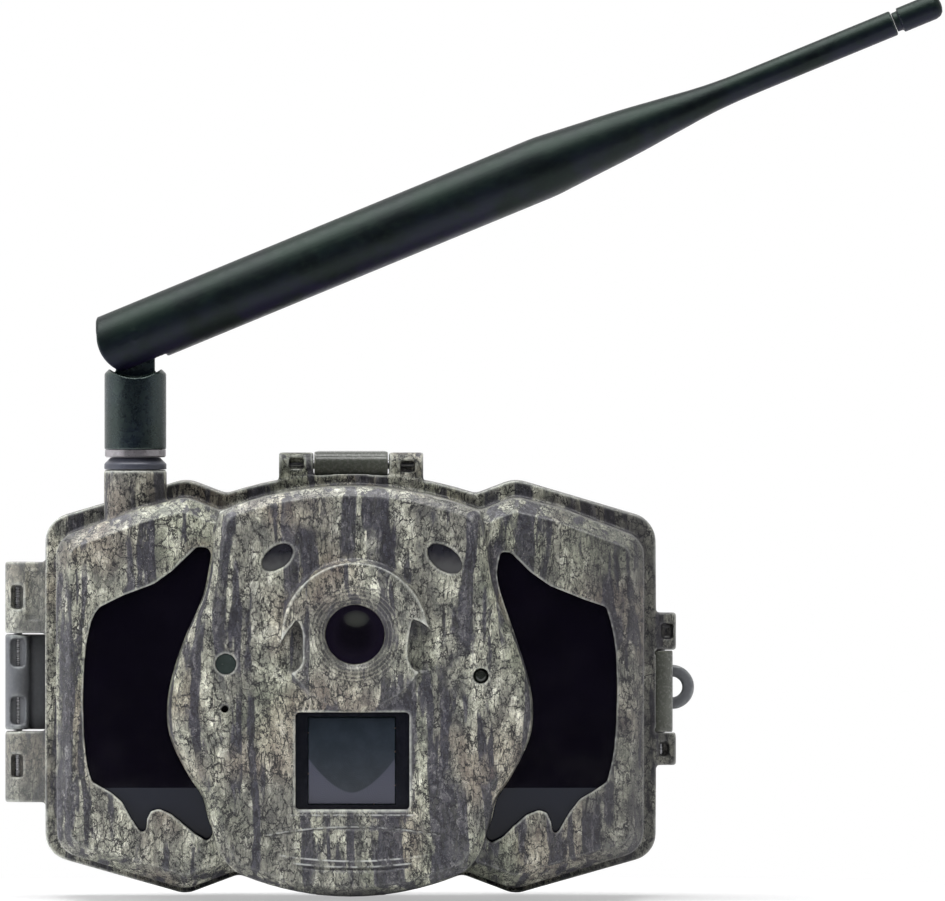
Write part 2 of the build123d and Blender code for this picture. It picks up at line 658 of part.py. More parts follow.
# Fresnel lens: sheet of even depth, arched to the front
PIR_LENS_Z0, PIR_LENS_Z1 = 21.2, 40.0
PIR_LENS_FRONT = BULGE_Y + 1.9       # at the upper and lower edge
PIR_LENS_BACK = BULGE_Y + 3.1
with BuildPart() as pir_lens:
    with BuildSketch(Plane.YZ.offset(-9.05)):
        with BuildLine():
            ThreePointArc((PIR_LENS_FRONT, PIR_LENS_Z0), (PIR_LENS_FRONT - 1, PIR_CENTRE[1]),
                          (PIR_LENS_FRONT, PIR_LENS_Z1))
            Line((PIR_LENS_FRONT, PIR_LENS_Z1), (PIR_LENS_BACK, PIR_LENS_Z1))
            ThreePointArc((PIR_LENS_BACK, PIR_LENS_Z1), (PIR_LENS_BACK - 1, PIR_CENTRE[1]),
                          (PIR_LENS_BACK, PIR_LENS_Z0))
            Line((PIR_LENS_BACK, PIR_LENS_Z0), (PIR_LENS_FRONT, PIR_LENS_Z0))
        make_face()
    extrude(amount=18.9)
save(pir_lens, "pir_lens")

# sensor can: flange, can, square window in front, three legs behind
PIR_BASE_Y = -34.9
with BuildPart() as pir_sensor:
    for y, radius, length in ((PIR_BASE_Y, 4.6, 0.8), (PIR_BASE_Y - 0.8, 4.1, 3.6)):
        with BuildSketch(at_y(y)):
            discs(radius, PIR_CENTRE)
        extrude(amount=length)
    with BuildSketch(at_y(-39.2)):
        rect(-1.5, 2.5, 29.1, 32.1)
    extrude(amount=0.4)
    with BuildSketch(at_y(PIR_BASE_Y)):
        discs(0.25, (-0.8, 29.4), (1.8, 29.4), (0.5, 32.2))
    extrude(amount=-8.9)
save(pir_sensor, "pir_sensor")

# ----------------------------------------- small windows and lights of the face
with BuildPart() as oval_windows:
    with BuildSketch(at_y(BULGE_Y + 1.15)):
        for x, z, angle, half_long, half_short in OVALS:
            with Locations((x, z)):
                Ellipse(half_long - 0.12, half_short - 0.12, rotation=angle)
    extrude(amount=0.6)
save(oval_windows, "oval_windows")

# window, flange behind the shell, and the neck that joins the two
disc_piece("light_sensor_window", SENSOR,
           steps=[(BULGE_Y + 2.3, 2.15, 2.0), (BULGE_Y + 3.3, 2.9, 0.8),
                  (BULGE_Y + 2.6, 2.15, 0.4)])

disc_piece("microphone", MIC, steps=[(-45.9, 3.0, 3.0)], cuts=[(-48.0, 1.0, 2)])

with BuildPart() as status_led:
    with BuildSketch(at_y(BULGE_Y + 3.6)):
        discs(1.5, LED)
    extrude(amount=3.0)
    fillet(status_led.faces().sort_by(Axis.Y)[0].edges(), 0.8)
    with BuildSketch(at_y(BULGE_Y + 4.6)):
        discs(2.2, LED)
    extrude(amount=1.0)
save(status_led, "status_led")

# -------------------------------------------------------------- electronics
MAIN_BOARD_Y = -24.4
MAIN_BOARD_THICK = 1.6
MODULE_Y = MAIN_BOARD_Y - MAIN_BOARD_THICK - 0.05
with BuildPart() as main_board:
    with BuildSketch(at_y(MAIN_BOARD_Y)):
        rect(-52, 52, 18.0, 76.0)
        discs(1.4, (-49, 21), (49, 21), (-49, 73), (49, 73), mode=CUT)
    extrude(amount=MAIN_BOARD_THICK)
save(main_board, "main_board")

block_piece("board_modules",
            [(MODULE_Y, (-46, -16, 40, 70), 2.6), (MODULE_Y, (18, 32, 40, 54), 1.4)])

# threaded tube with its hexagon inside the case
SOCKET_BORE_R = 1.2
TUBE_Z, HEX_DEPTH = 79.4, 2.8
with BuildPart() as antenna_socket:
    with BuildSketch(Plane.XY.offset(TUBE_Z)):
        discs(3.15, ANTENNA)
        discs(SOCKET_BORE_R, ANTENNA, mode=CUT)
    extrude(amount=17.3)
    with BuildSketch(Plane.XY.offset(TUBE_Z - HEX_DEPTH)):
        with Locations(ANTENNA):
            RegularPolygon(4.0, 6)
            Circle(SOCKET_BORE_R, mode=CUT)
    extrude(amount=HEX_DEPTH)
save(antenna_socket, "antenna_socket")

# -------------------------------------- inner panel, seen with the case open
PANEL_Y = -14.6                      # its back face, towards the parting plane
BEHIND_PANEL_Y = -17.3               # parts mounted in front (-Y) of the panel
CONTROL_BASE_Y = -22.7               # base of the switches on the main board
KEY_X, KEY_Z, KEY_PITCH = 38.0, 52.0, 10.0
BUTTONS = {
    "button_up": (KEY_X, KEY_Z + KEY_PITCH),
    "button_down": (KEY_X, KEY_Z - KEY_PITCH),
    "button_left": (KEY_X - KEY_PITCH, KEY_Z),
    "button_right": (KEY_X + KEY_PITCH, KEY_Z),
    "button_ok": (KEY_X, KEY_Z),
}
# Card slots: x0, x1, centre z, slot height
SD_SLOT = (-52.0, -27.6, 27.0, 2.6)
SIM_SLOT = (-19.0, -3.0, 26.8, 1.7)
SLOTS = [SD_SLOT, SIM_SLOT]

with BuildPart() as front_panel:
    with BuildSketch(at_y(PANEL_Y)):
        inset(FRONT_OUT, WALL + FIT)
    extrude(amount=2.2)
    # openings: display, keys, mode switch, memory card, SIM card, USB
    with BuildSketch(at_y(PANEL_Y)):
        rect(-27.5, 17.5, 35.0, 69.0)
        with Locations(*BUTTONS.values()):
            RectangleRounded(7.4, 7.4, 1.2)
        rect(26.0, 41.0, 24.0, 28.2)
        rect(-52.2, -27.4, 25.4, 28.6)
        rect(-19.2, -2.8, 25.6, 28.0)
        rect(1.0, 10.2, 20.6, 24.2)
    extrude(amount=3, mode=CUT)
    # speaker holes, within the display opening's height
    with BuildSketch(at_y(PANEL_Y)):
        for row in range(5):
            discs(0.8, *[(x, 40.0 + 3 * row) for x in (-40.0, -44.0, -36.0)])
    extrude(amount=3, mode=CUT)
    with BuildSketch(at_y(PANEL_Y)):
        discs(SCREW_HOLE_R, *SCREWS_FRONT)
    extrude(amount=3, mode=CUT)
    with BuildSketch(at_y(PANEL_Y)):
        discs(SCREW_SINK_R, *SCREWS_FRONT)
    extrude(amount=1.4, mode=CUT)
save(front_panel, "front_panel")

screws("panel_screws", SCREWS_FRONT, PANEL_Y - 0.2, shank_way=-1)

block_piece("display",
            [(-16.9, (-29.5, 19.5, 32.5, 71.5), 2.4), (-15.4, (-27.3, 17.3, 35.2, 68.8), 1.6)])


def push_button(name, place):
    """Key cap with a flange at its inner end."""
    cap_y, cap_length = -13.6, 3.6
    with BuildPart() as piece:
        with BuildSketch(at_y(cap_y)):
            with Locations(place):
                RectangleRounded(7.0, 7.0, 1.0)
        extrude(amount=cap_length)
        with BuildSketch(at_y(cap_y - cap_length)):
            with Locations(place):
                RectangleRounded(8.6, 8.6, 1.6)
        extrude(amount=0.9)
        fillet(piece.faces().sort_by(Axis.Y)[-1].edges(), 0.5)
    save(piece, name)


for name, place in BUTTONS.items():
    push_button(name, place)

with BuildPart() as tact_switches:
    with BuildSketch(at_y(CONTROL_BASE_Y)):
        rects(6.0, 6.0, *BUTTONS.values())
    extrude(amount=1.6)
    with BuildSketch(at_y(-19.2)):
        discs(1.7, *BUTTONS.values())
    extrude(amount=3.6)
save(tact_switches, "tact_switches")

# sliding knob: flange, grip, three grip grooves
KNOB_Y = -13.5
with BuildPart() as mode_switch:
    with BuildSketch(at_y(BEHIND_PANEL_Y)):
        rect(26.5, 33.5, 22.9, 29.3)
    extrude(amount=1.2)
    with BuildSketch(at_y(KNOB_Y)):
        rect(27.2, 32.2, 24.3, 27.9)
    extrude(amount=KNOB_Y - BEHIND_PANEL_Y)
    with BuildSketch(at_y(KNOB_Y)):
        rects(0.5, 3.7, (28.3, 26.1), (29.7, 26.1), (31.1, 26.1))
    extrude(amount=0.5, mode=CUT)
save(mode_switch, "mode_switch")

SWITCH_BODY = (25.0, 42.0, 22.0, 30.2)
block_piece("mode_switch_body",
            steps=[(CONTROL_BASE_Y, SWITCH_BODY, 1.6), (-18.7, SWITCH_BODY, 4.0)],
            cuts=[(-18.6, (26.2, 40.8, 22.8, 29.4), 2.0)])

# thin card cages, open towards the parting plane
CAGE_WALL = 0.6
with BuildPart() as card_slots:
    with BuildSketch(at_y(BEHIND_PANEL_Y)):
        for x0, x1, z, height in SLOTS:
            rect(x0 - CAGE_WALL, x1 + CAGE_WALL,
                 z - height / 2 - CAGE_WALL, z + height / 2 + CAGE_WALL)
    extrude(amount=5.4)
    with BuildSketch(at_y(BEHIND_PANEL_Y + 0.1)):
        for x0, x1, z, height in SLOTS:
            rect(x0, x1, z - height / 2, z + height / 2)
    extrude(amount=4.7, mode=CUT)
save(card_slots, "card_slots")

for name, (x0, x1, z, _), thick in (("sd_card", SD_SLOT, 2.1), ("sim_card", SIM_SLOT, 1.0)):
    block_piece(name, [(-13.7, (x0 + 0.2, x1 - 0.2, z - thick / 2, z + thick / 2), 7.5)])

block_piece("usb_port",
            steps=[(-15.2, (1.2, 10.0, 20.8, 24.0), 7.4)],
            cuts=[(-15.1, (2.0, 9.2, 21.5, 23.3), 6.0)])

disc_piece("speaker", (-40.0, 46.0),
           steps=[(BEHIND_PANEL_Y, 8.0, 4.0)], cuts=[(BEHIND_PANEL_Y + 0.1, 6.8, 1.2)])

# ================================================================= ANTENNA
SLEEVE_Z = BOSS_TOP + 4.45
TONGUE_R, TONGUE_THICK = 4.3, 4.8

with BuildPart() as antenna_base_ring:
    with BuildSketch(Plane.XY.offset(BOSS_TOP + 0.06)):
        discs(6.85, ANTENNA)
        discs(3.3, ANTENNA, mode=CUT)
    extrude(amount=2.6)
    # bevel on the outer top edge
    chamfer(antenna_base_ring.faces().sort_by(Axis.Z)[-1].edges().sort_by(SortBy.LENGTH)[-1], 1.4)
save(antenna_base_ring, "antenna_base_ring")

with BuildPart() as antenna_nut:
    with BuildSketch(Plane.XY.offset(BOSS_TOP + 2.72)):
        discs(6.7, ANTENNA)
    extrude(amount=1.68)
    chamfer(antenna_nut.faces().sort_by(Axis.Z)[0].edges(), 0.3)
save(antenna_nut, "antenna_nut")

with BuildPart() as antenna_sleeve:
    with BuildSketch(Plane.XY.offset(SLEEVE_Z)):
        discs(6.8, ANTENNA)
    extrude(amount=116.5 - SLEEVE_Z)
    chamfer(antenna_sleeve.faces().sort_by(Axis.Z)[-1].edges(), length=1.2)
    # saddle shaped top that clears the elbow
    with BuildSketch(at_y(ANTENNA_Y - 10)):
        discs(9.3, (ANTENNA_X, ELBOW_Z))
    extrude(amount=-20, mode=CUT)
    # tongue carrying the elbow pin
    with BuildSketch(at_y(ANTENNA_Y - TONGUE_THICK / 2)):
        discs(TONGUE_R, (ANTENNA_X, ELBOW_Z))
        rect(ANTENNA_X - TONGUE_R, ANTENNA_X + TONGUE_R, 112.0, ELBOW_Z)
    extrude(amount=-TONGUE_THICK)
    with BuildSketch(at_y(ANTENNA_Y - 10)):
        discs(1.3, (ANTENNA_X, ELBOW_Z))
    extrude(amount=-20, mode=CUT)
save(antenna_sleeve, "antenna_sleeve")

# Whip frames, origin on the elbow pin: WHIP has local x along the whip and
# extrudes towards -Y, WHIP_END lies square to the whip.
ELBOW = (ANTENNA_X, ANTENNA_Y, ELBOW_Z)
WHIP_DIR = (math.cos(math.radians(ELBOW_TILT)), 0, math.sin(math.radians(ELBOW_TILT)))
WHIP = Plane(origin=ELBOW, x_dir=WHIP_DIR, z_dir=(0, -1, 0))
WHIP_END = Plane(origin=ELBOW, x_dir=(0, 1, 0), z_dir=WHIP_DIR)

with BuildPart() as antenna_elbow:
    with BuildSketch(WHIP_END.offset(-9.3)):
        Circle(6.9)
    extrude(amount=9.3 + 13.27)
    # end: square at the top corner, rounded below so it swings clear of the sleeve
    with BuildSketch(WHIP.offset(-10)):
        Circle(8.5)
        with BuildLine():
            Polyline((0, 0), (-8.3, 0), (-7.7, 4.0), (-6.8, 6.3), (-6.2, 6.95), (0, 7.5),
                     close=True)
        make_face()
        rects(40, 20, (20, 0))
    extrude(amount=20, mode=Mode.INTERSECT)
    # slot for the tongue, open towards the end and the underside
    with BuildSketch(WHIP.offset(-2.6)):
        Circle(4.8)
        rects(14.1, 10, (-2.25, -5))
        rects(10, 9.6, (-5, 0))
    extrude(amount=5.2, mode=CUT)
    with BuildSketch(WHIP.offset(-10)):
        Circle(1.25)
    extrude(amount=20, mode=CUT)
save(antenna_elbow, "antenna_elbow")

with BuildPart() as elbow_pin:
    with BuildSketch(WHIP.offset(-6.2)):
        Circle(1.22)
    extrude(amount=12.4)
save(elbow_pin, "elbow_pin")

# Distance from the elbow pin, radius: a cylinder, a smooth taper, a cylinder
WHIP_PROFILE = [
    (13.3, 6.9), (96.0, 6.9), (101.0, 6.6), (104.0, 6.35), (109.6, 5.9), (114.6, 5.5),
    (119.8, 5.0), (125.0, 4.4), (130.0, 3.85), (135.0, 3.3), (140.0, 3.0), (145.0, 2.86),
    (180.5, 2.84)]
WHIP_START, WHIP_STOP = WHIP_PROFILE[0][0], WHIP_PROFILE[-1][0]
with BuildPart() as antenna_whip:
    with BuildSketch(WHIP):
        with BuildLine():
            Line((WHIP_START, 0), WHIP_PROFILE[0])
            Line(WHIP_PROFILE[0], WHIP_PROFILE[1])
            Spline(*WHIP_PROFILE[1:-1], tangents=((1, 0), (1, -0.005)))
            Line(WHIP_PROFILE[-2], WHIP_PROFILE[-1])
            Line(WHIP_PROFILE[-1], (WHIP_STOP, 0))
            Line((WHIP_STOP, 0), (WHIP_START, 0))
        make_face()
    revolve(axis=Axis(ELBOW, WHIP.x_dir))
save(antenna_whip, "antenna_whip")

# Distance from the elbow pin, radius; closed along the axis
TIP_PROFILE = [
    (180.6, 0), (180.6, 2.2), (182.0, 2.2), (182.0, 2.8), (189.6, 2.8), (190.6, 2.5),
    (191.3, 1.8), (191.6, 0.9), (191.7, 0), (180.6, 0)]
with BuildPart() as antenna_tip:
    with BuildSketch(WHIP):
        with BuildLine():
            Polyline(*TIP_PROFILE)
        make_face()
    revolve(axis=Axis(ELBOW, WHIP.x_dir))
save(antenna_tip, "antenna_tip")

# =============================================================== REAR HALF
RIB_X, RIB_Z = 30.0, 47.0            # strap rib centres
CATCH_Y = PARTING_Y + 11.4           # back of the latch catch ridges
POST_BACK_Y = BACK_Y - WALL + 0.5

with BuildPart() as rear_shell:
    with BuildSketch(at_y(BACK_Y)):
        add(REAR_OUT)
    extrude(amount=BACK_Y - PARTING_Y - PARTING_GAP)
    chamfer(rear_shell.faces().sort_by(Axis.Y)[-1].edges(), length=4.0, length2=3.0)
    # two strap ribs that bear on the tree
    for x in (-RIB_X, RIB_X):
        with BuildSketch(at_y(RIBS_Y)):
            with Locations((x, RIB_Z)):
                RectangleRounded(14, 64, 3)
        extrude(amount=RIBS_Y - BACK_Y + 1)
    # raised pad between the ribs
    with BuildSketch(at_y(BACK_Y + 3)):
        with Locations((0, RIB_Z)):
            RectangleRounded(34, 54, 4)
    extrude(amount=4)
    # boss of the tripod socket
    with BuildSketch(Plane.XY):
        Circle(8.0)
    extrude(amount=14)
    # catch ridges for the latches: one on top, two on the side
    for limits in ((-7.0, 7.0, 91.0, 94.2), (66.0, 68.4, 37.2, 40.4), (66.0, 68.4, 51.4, 53.8)):
        with BuildSketch(at_y(CATCH_Y)):
            rect(*limits)
        extrude(amount=3.0)
    # hollow
    with BuildSketch(at_y(BACK_Y - WALL)):
        inset(REAR_OUT, WALL)
    extrude(amount=BACK_Y - PARTING_Y + 1, mode=CUT)
    # the tripod boss carries on inside the hollow, bored for its insert
    with BuildSketch(Plane.XY):
        Circle(7.5)
    extrude(amount=13.5)
    with BuildSketch(Plane.XY):
        Circle(4.25)
    extrude(amount=12.2, mode=CUT)
    # strap passages and the cable lock hole, through the ribs
    with BuildSketch(Plane.YZ.offset(-40)):
        rects(5.2, 17.0, (17.6, 37.0), (17.6, 60.0))
        discs(3.6, (17.8, RIB_Z + 26.5))
    extrude(amount=80, mode=CUT)
    # cross grooves on the bearing faces of the ribs
    with BuildSketch(Plane.YZ.offset(-40)):
        for k in range(9):
            z = 22.4 + 6.4 * k
            with BuildLine():
                Polyline((RIBS_Y + 0.1, z - 1), (RIBS_Y - 1.2, z), (RIBS_Y + 0.1, z + 1),
                         close=True)
            make_face()
    extrude(amount=80, mode=CUT)
    # screw posts of the battery frame
    with BuildSketch(at_y(POST_BACK_Y)):
        discs(POST_R, *SCREWS_REAR)
        discs(POST_BORE_R, *SCREWS_REAR, mode=CUT)
    extrude(amount=POST_BACK_Y - (PARTING_Y + 2.7))
    # notches for the hinge knuckle web and the padlock eye
    with BuildSketch(at_y(PARTING_Y + 3.2)):
        rect(-72, -64, KNUCKLE[0] - 0.1, KNUCKLE[1] + 0.1)
    extrude(amount=6, mode=CUT)
    with BuildSketch(at_y(-2.9)):
        rect(64, 72, EYE_Z - 5.1, EYE_Z + 5.1)
    extrude(amount=12, mode=CUT)
    # power socket hole in the underside
    with BuildSketch(Plane.XY.offset(-2)):
        discs(4.1, POWER)
    extrude(amount=10, mode=CUT)
save(rear_shell, "rear_shell")

# tripod socket, 1/4-20, closed at the top
INSERT_R, THREAD_R, THREAD_DEPTH = 4.2, 2.55, 11.0
with BuildPart() as tripod_insert:
    with BuildSketch(Plane.XY):
        Circle(INSERT_R)
        Circle(THREAD_R, mode=CUT)
    extrude(amount=THREAD_DEPTH)
    with BuildSketch(Plane.XY.offset(THREAD_DEPTH)):
        Circle(INSERT_R)
    extrude(amount=1.1)
save(tripod_insert, "tripod_insert")

# ---------------------------------------------------------------- batteries
CELL_R, CELL_LENGTH, CELL_CAP = 7.1, 50.0, 1.2
CELL_PITCH = 14.7
CELL_Y, CELL_Z = 0.2, 26.0           # axis depth, bottom of the cells
CELLS = [((i - 3.5) * CELL_PITCH, CELL_Y) for i in range(8)]

with BuildPart() as seal_bed:
    with BuildSketch() as seal_bed_sketch:
        inset(REAR_OUT, WALL + 2.2)
SEAL_BED = seal_bed_sketch.sketch    # the part of the frame inside the seal groove

# moulding with cell cradles, hinge knuckle and padlock eye
FRAME_FRONT = PARTING_Y + 0.4
EYE_Y = -3.2                         # back of the padlock eye
with BuildPart() as battery_frame:
    with BuildSketch(at_y(PARTING_Y + 2.6)):
        inset(REAR_OUT, WALL + FIT)
    extrude(amount=2.2)
    # groove of the seal
    with BuildSketch(at_y(PARTING_Y + 1.4)):
        inset(REAR_OUT, WALL + FIT - 0.1)
        add(SEAL_BED, mode=CUT)
    extrude(amount=2, mode=CUT)
    # walls round the cells
    with BuildSketch(at_y(9.0)):
        rect(-60.4, 60.4, 20.8, 79.2)
    extrude(amount=9.0 - FRAME_FRONT)
    with BuildSketch(at_y(8.0)):
        rect(-59.2, 59.2, 22.0, 77.9)
    extrude(amount=8.0 - PARTING_Y + 2, mode=CUT)
    # two cradle ribs across the cells
    for z in (36.0, 66.0):
        with BuildSketch(Plane.XY.offset(z - 0.8)):
            rects(119.6, 5.0, (0, 6.0))
            discs(CELL_R + 0.15, *CELLS, mode=CUT)
        extrude(amount=1.6)
    # hinge knuckle with its web
    with BuildSketch(Plane.XY.offset(KNUCKLE[0] + HINGE_PLAY)):
        discs(HINGE_R, HINGE)
        rects(8.9, 2.5, (-68.95, PARTING_Y + 1.55))
        rects(8.0, 1.3, (-66.0, PARTING_Y + 2.15))
    extrude(amount=KNUCKLE[1] - KNUCKLE[0] - 2 * HINGE_PLAY)
    # padlock eye with its arm, and the web that ties it to the frame
    with BuildSketch(at_y(EYE_Y)):
        discs(EYE_R, (EYE_X, EYE_Z))
        rect(61.0, EYE_X, EYE_Z - EYE_HALF, EYE_Z + EYE_HALF)
    extrude(amount=3.0)
    with BuildSketch(at_y(0)):
        discs(EYE_HOLE_R, (EYE_X, EYE_Z))
    extrude(amount=10, mode=CUT)
    with BuildSketch(at_y(EYE_Y)):
        rect(60.0, 64.8, EYE_Z - EYE_HALF, EYE_Z + EYE_HALF)
    extrude(amount=7.2)
    # screw holes
    for radius, depth in ((SCREW_HOLE_R, 4), (SCREW_SINK_R, 1.8)):
        with BuildSketch(at_y(PARTING_Y)):
            discs(radius, *SCREWS_REAR)
        extrude(amount=-depth, mode=CUT)
    # hinge bore and windows
    with BuildSketch(Plane.XY.offset(KNUCKLE[0] - 2)):
        discs(LOOSE_BORE_R, HINGE)
    extrude(amount=26, mode=CUT)
    for z0, z1 in ((37.9, 44.0), (50.7, 56.8)):
        with BuildSketch(at_y(PARTING_Y - 4)):
            rect(-74.9, -71.9, z0, z1)
        extrude(amount=-2.9, mode=CUT)
    # clearance round the tripod boss and the power socket
    with BuildSketch(Plane.XY.offset(-2)):
        Circle(8.6)
        discs(6.6, POWER)
    extrude(amount=18.5, mode=CUT)
save(battery_frame, "battery_frame")

with BuildPart() as batteries:
    with BuildSketch(Plane.XY.offset(CELL_Z)):
        discs(CELL_R, *CELLS)
    extrude(amount=CELL_LENGTH - CELL_CAP)
    with BuildSketch(Plane.XY.offset(CELL_Z + CELL_LENGTH - CELL_CAP)):
        discs(2.7, *CELLS)
    extrude(amount=CELL_CAP)
save(batteries, "batteries")

# plates above and below each cell, stepped springs on the lower ones
with BuildPart() as battery_contacts:
    for z in (76.6, 22.2):
        with BuildSketch(Plane.XY.offset(z)):
            rects(11.0, 9.0, *[(x, 0.6) for x, y in CELLS])
        extrude(amount=0.5)
    for z, radius in ((22.7, 4.2), (23.7, 3.6), (24.7, 3.0)):
        with BuildSketch(Plane.XY.offset(z)):
            with Locations(*CELLS):
                Circle(radius)
                Circle(radius - 1.0, mode=CUT)
        extrude(amount=1.0)
save(battery_contacts, "battery_contacts")

# rubber seal: ring in the groove of the battery frame
with BuildPart() as seal_ring:
    with BuildSketch(at_y(PARTING_Y + 1.3)):
        inset(REAR_OUT, WALL + 0.6)
    extrude(amount=1.45)
    with BuildSketch(at_y(PARTING_Y + 2)):
        inset(REAR_OUT, WALL + 2.1)
    extrude(amount=6, mode=CUT)
save(seal_ring, "seal_ring")

# ------------------------------------------------------------- power socket
# barrel, flange at its upper end, centre contact
with BuildPart() as power_socket:
    with BuildSketch(Plane.XY.offset(5.2)):
        discs(3.9, POWER)
        discs(2.8, POWER, mode=CUT)
    extrude(amount=9.0)
    for z, radius, length in ((13.2, 5.6, 1.5), (6.5, 1.0, 7)):
        with BuildSketch(Plane.XY.offset(z)):
            discs(radius, POWER)
        extrude(amount=length)
save(power_socket, "power_socket")

PLUG_Z, PLUG_LENGTH = 1.0, 3.9
with BuildPart() as power_plug:
    with BuildSketch(Plane.XY.offset(PLUG_Z)):
        discs(3.85, POWER)
    extrude(amount=PLUG_LENGTH)
    with BuildSketch(Plane.XY.offset(PLUG_Z + PLUG_LENGTH)):
        discs(2.6, POWER)
        discs(1.3, POWER, mode=CUT)
    extrude(amount=3.5)
    # underside follows the slope of the shell
    with BuildSketch(at_y(10)):
        with BuildLine():
            Polyline((34, -3), (34, 0.1), (50, 4.65), (50, -3), close=True)
        make_face()
    extrude(amount=20, mode=CUT)
save(power_plug, "power_plug")

screws("frame_screws", SCREWS_REAR, PARTING_Y + 0.5, shank_way=1)
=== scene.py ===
import bpy, bmesh, math
import numpy as np
from mathutils import Vector, Matrix


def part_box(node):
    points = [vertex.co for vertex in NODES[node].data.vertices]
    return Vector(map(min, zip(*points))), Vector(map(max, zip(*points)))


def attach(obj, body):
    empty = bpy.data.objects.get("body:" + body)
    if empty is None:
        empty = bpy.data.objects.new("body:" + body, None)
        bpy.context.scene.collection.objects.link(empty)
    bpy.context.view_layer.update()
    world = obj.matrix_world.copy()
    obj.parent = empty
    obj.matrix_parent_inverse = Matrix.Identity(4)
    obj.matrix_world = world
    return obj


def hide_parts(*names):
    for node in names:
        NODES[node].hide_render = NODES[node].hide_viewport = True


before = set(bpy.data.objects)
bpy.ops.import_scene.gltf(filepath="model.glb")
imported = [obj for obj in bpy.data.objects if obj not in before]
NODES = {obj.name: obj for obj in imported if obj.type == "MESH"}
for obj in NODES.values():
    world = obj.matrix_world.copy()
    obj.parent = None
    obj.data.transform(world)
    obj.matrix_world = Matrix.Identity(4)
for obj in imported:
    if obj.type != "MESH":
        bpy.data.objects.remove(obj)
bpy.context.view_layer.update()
D = bpy.data


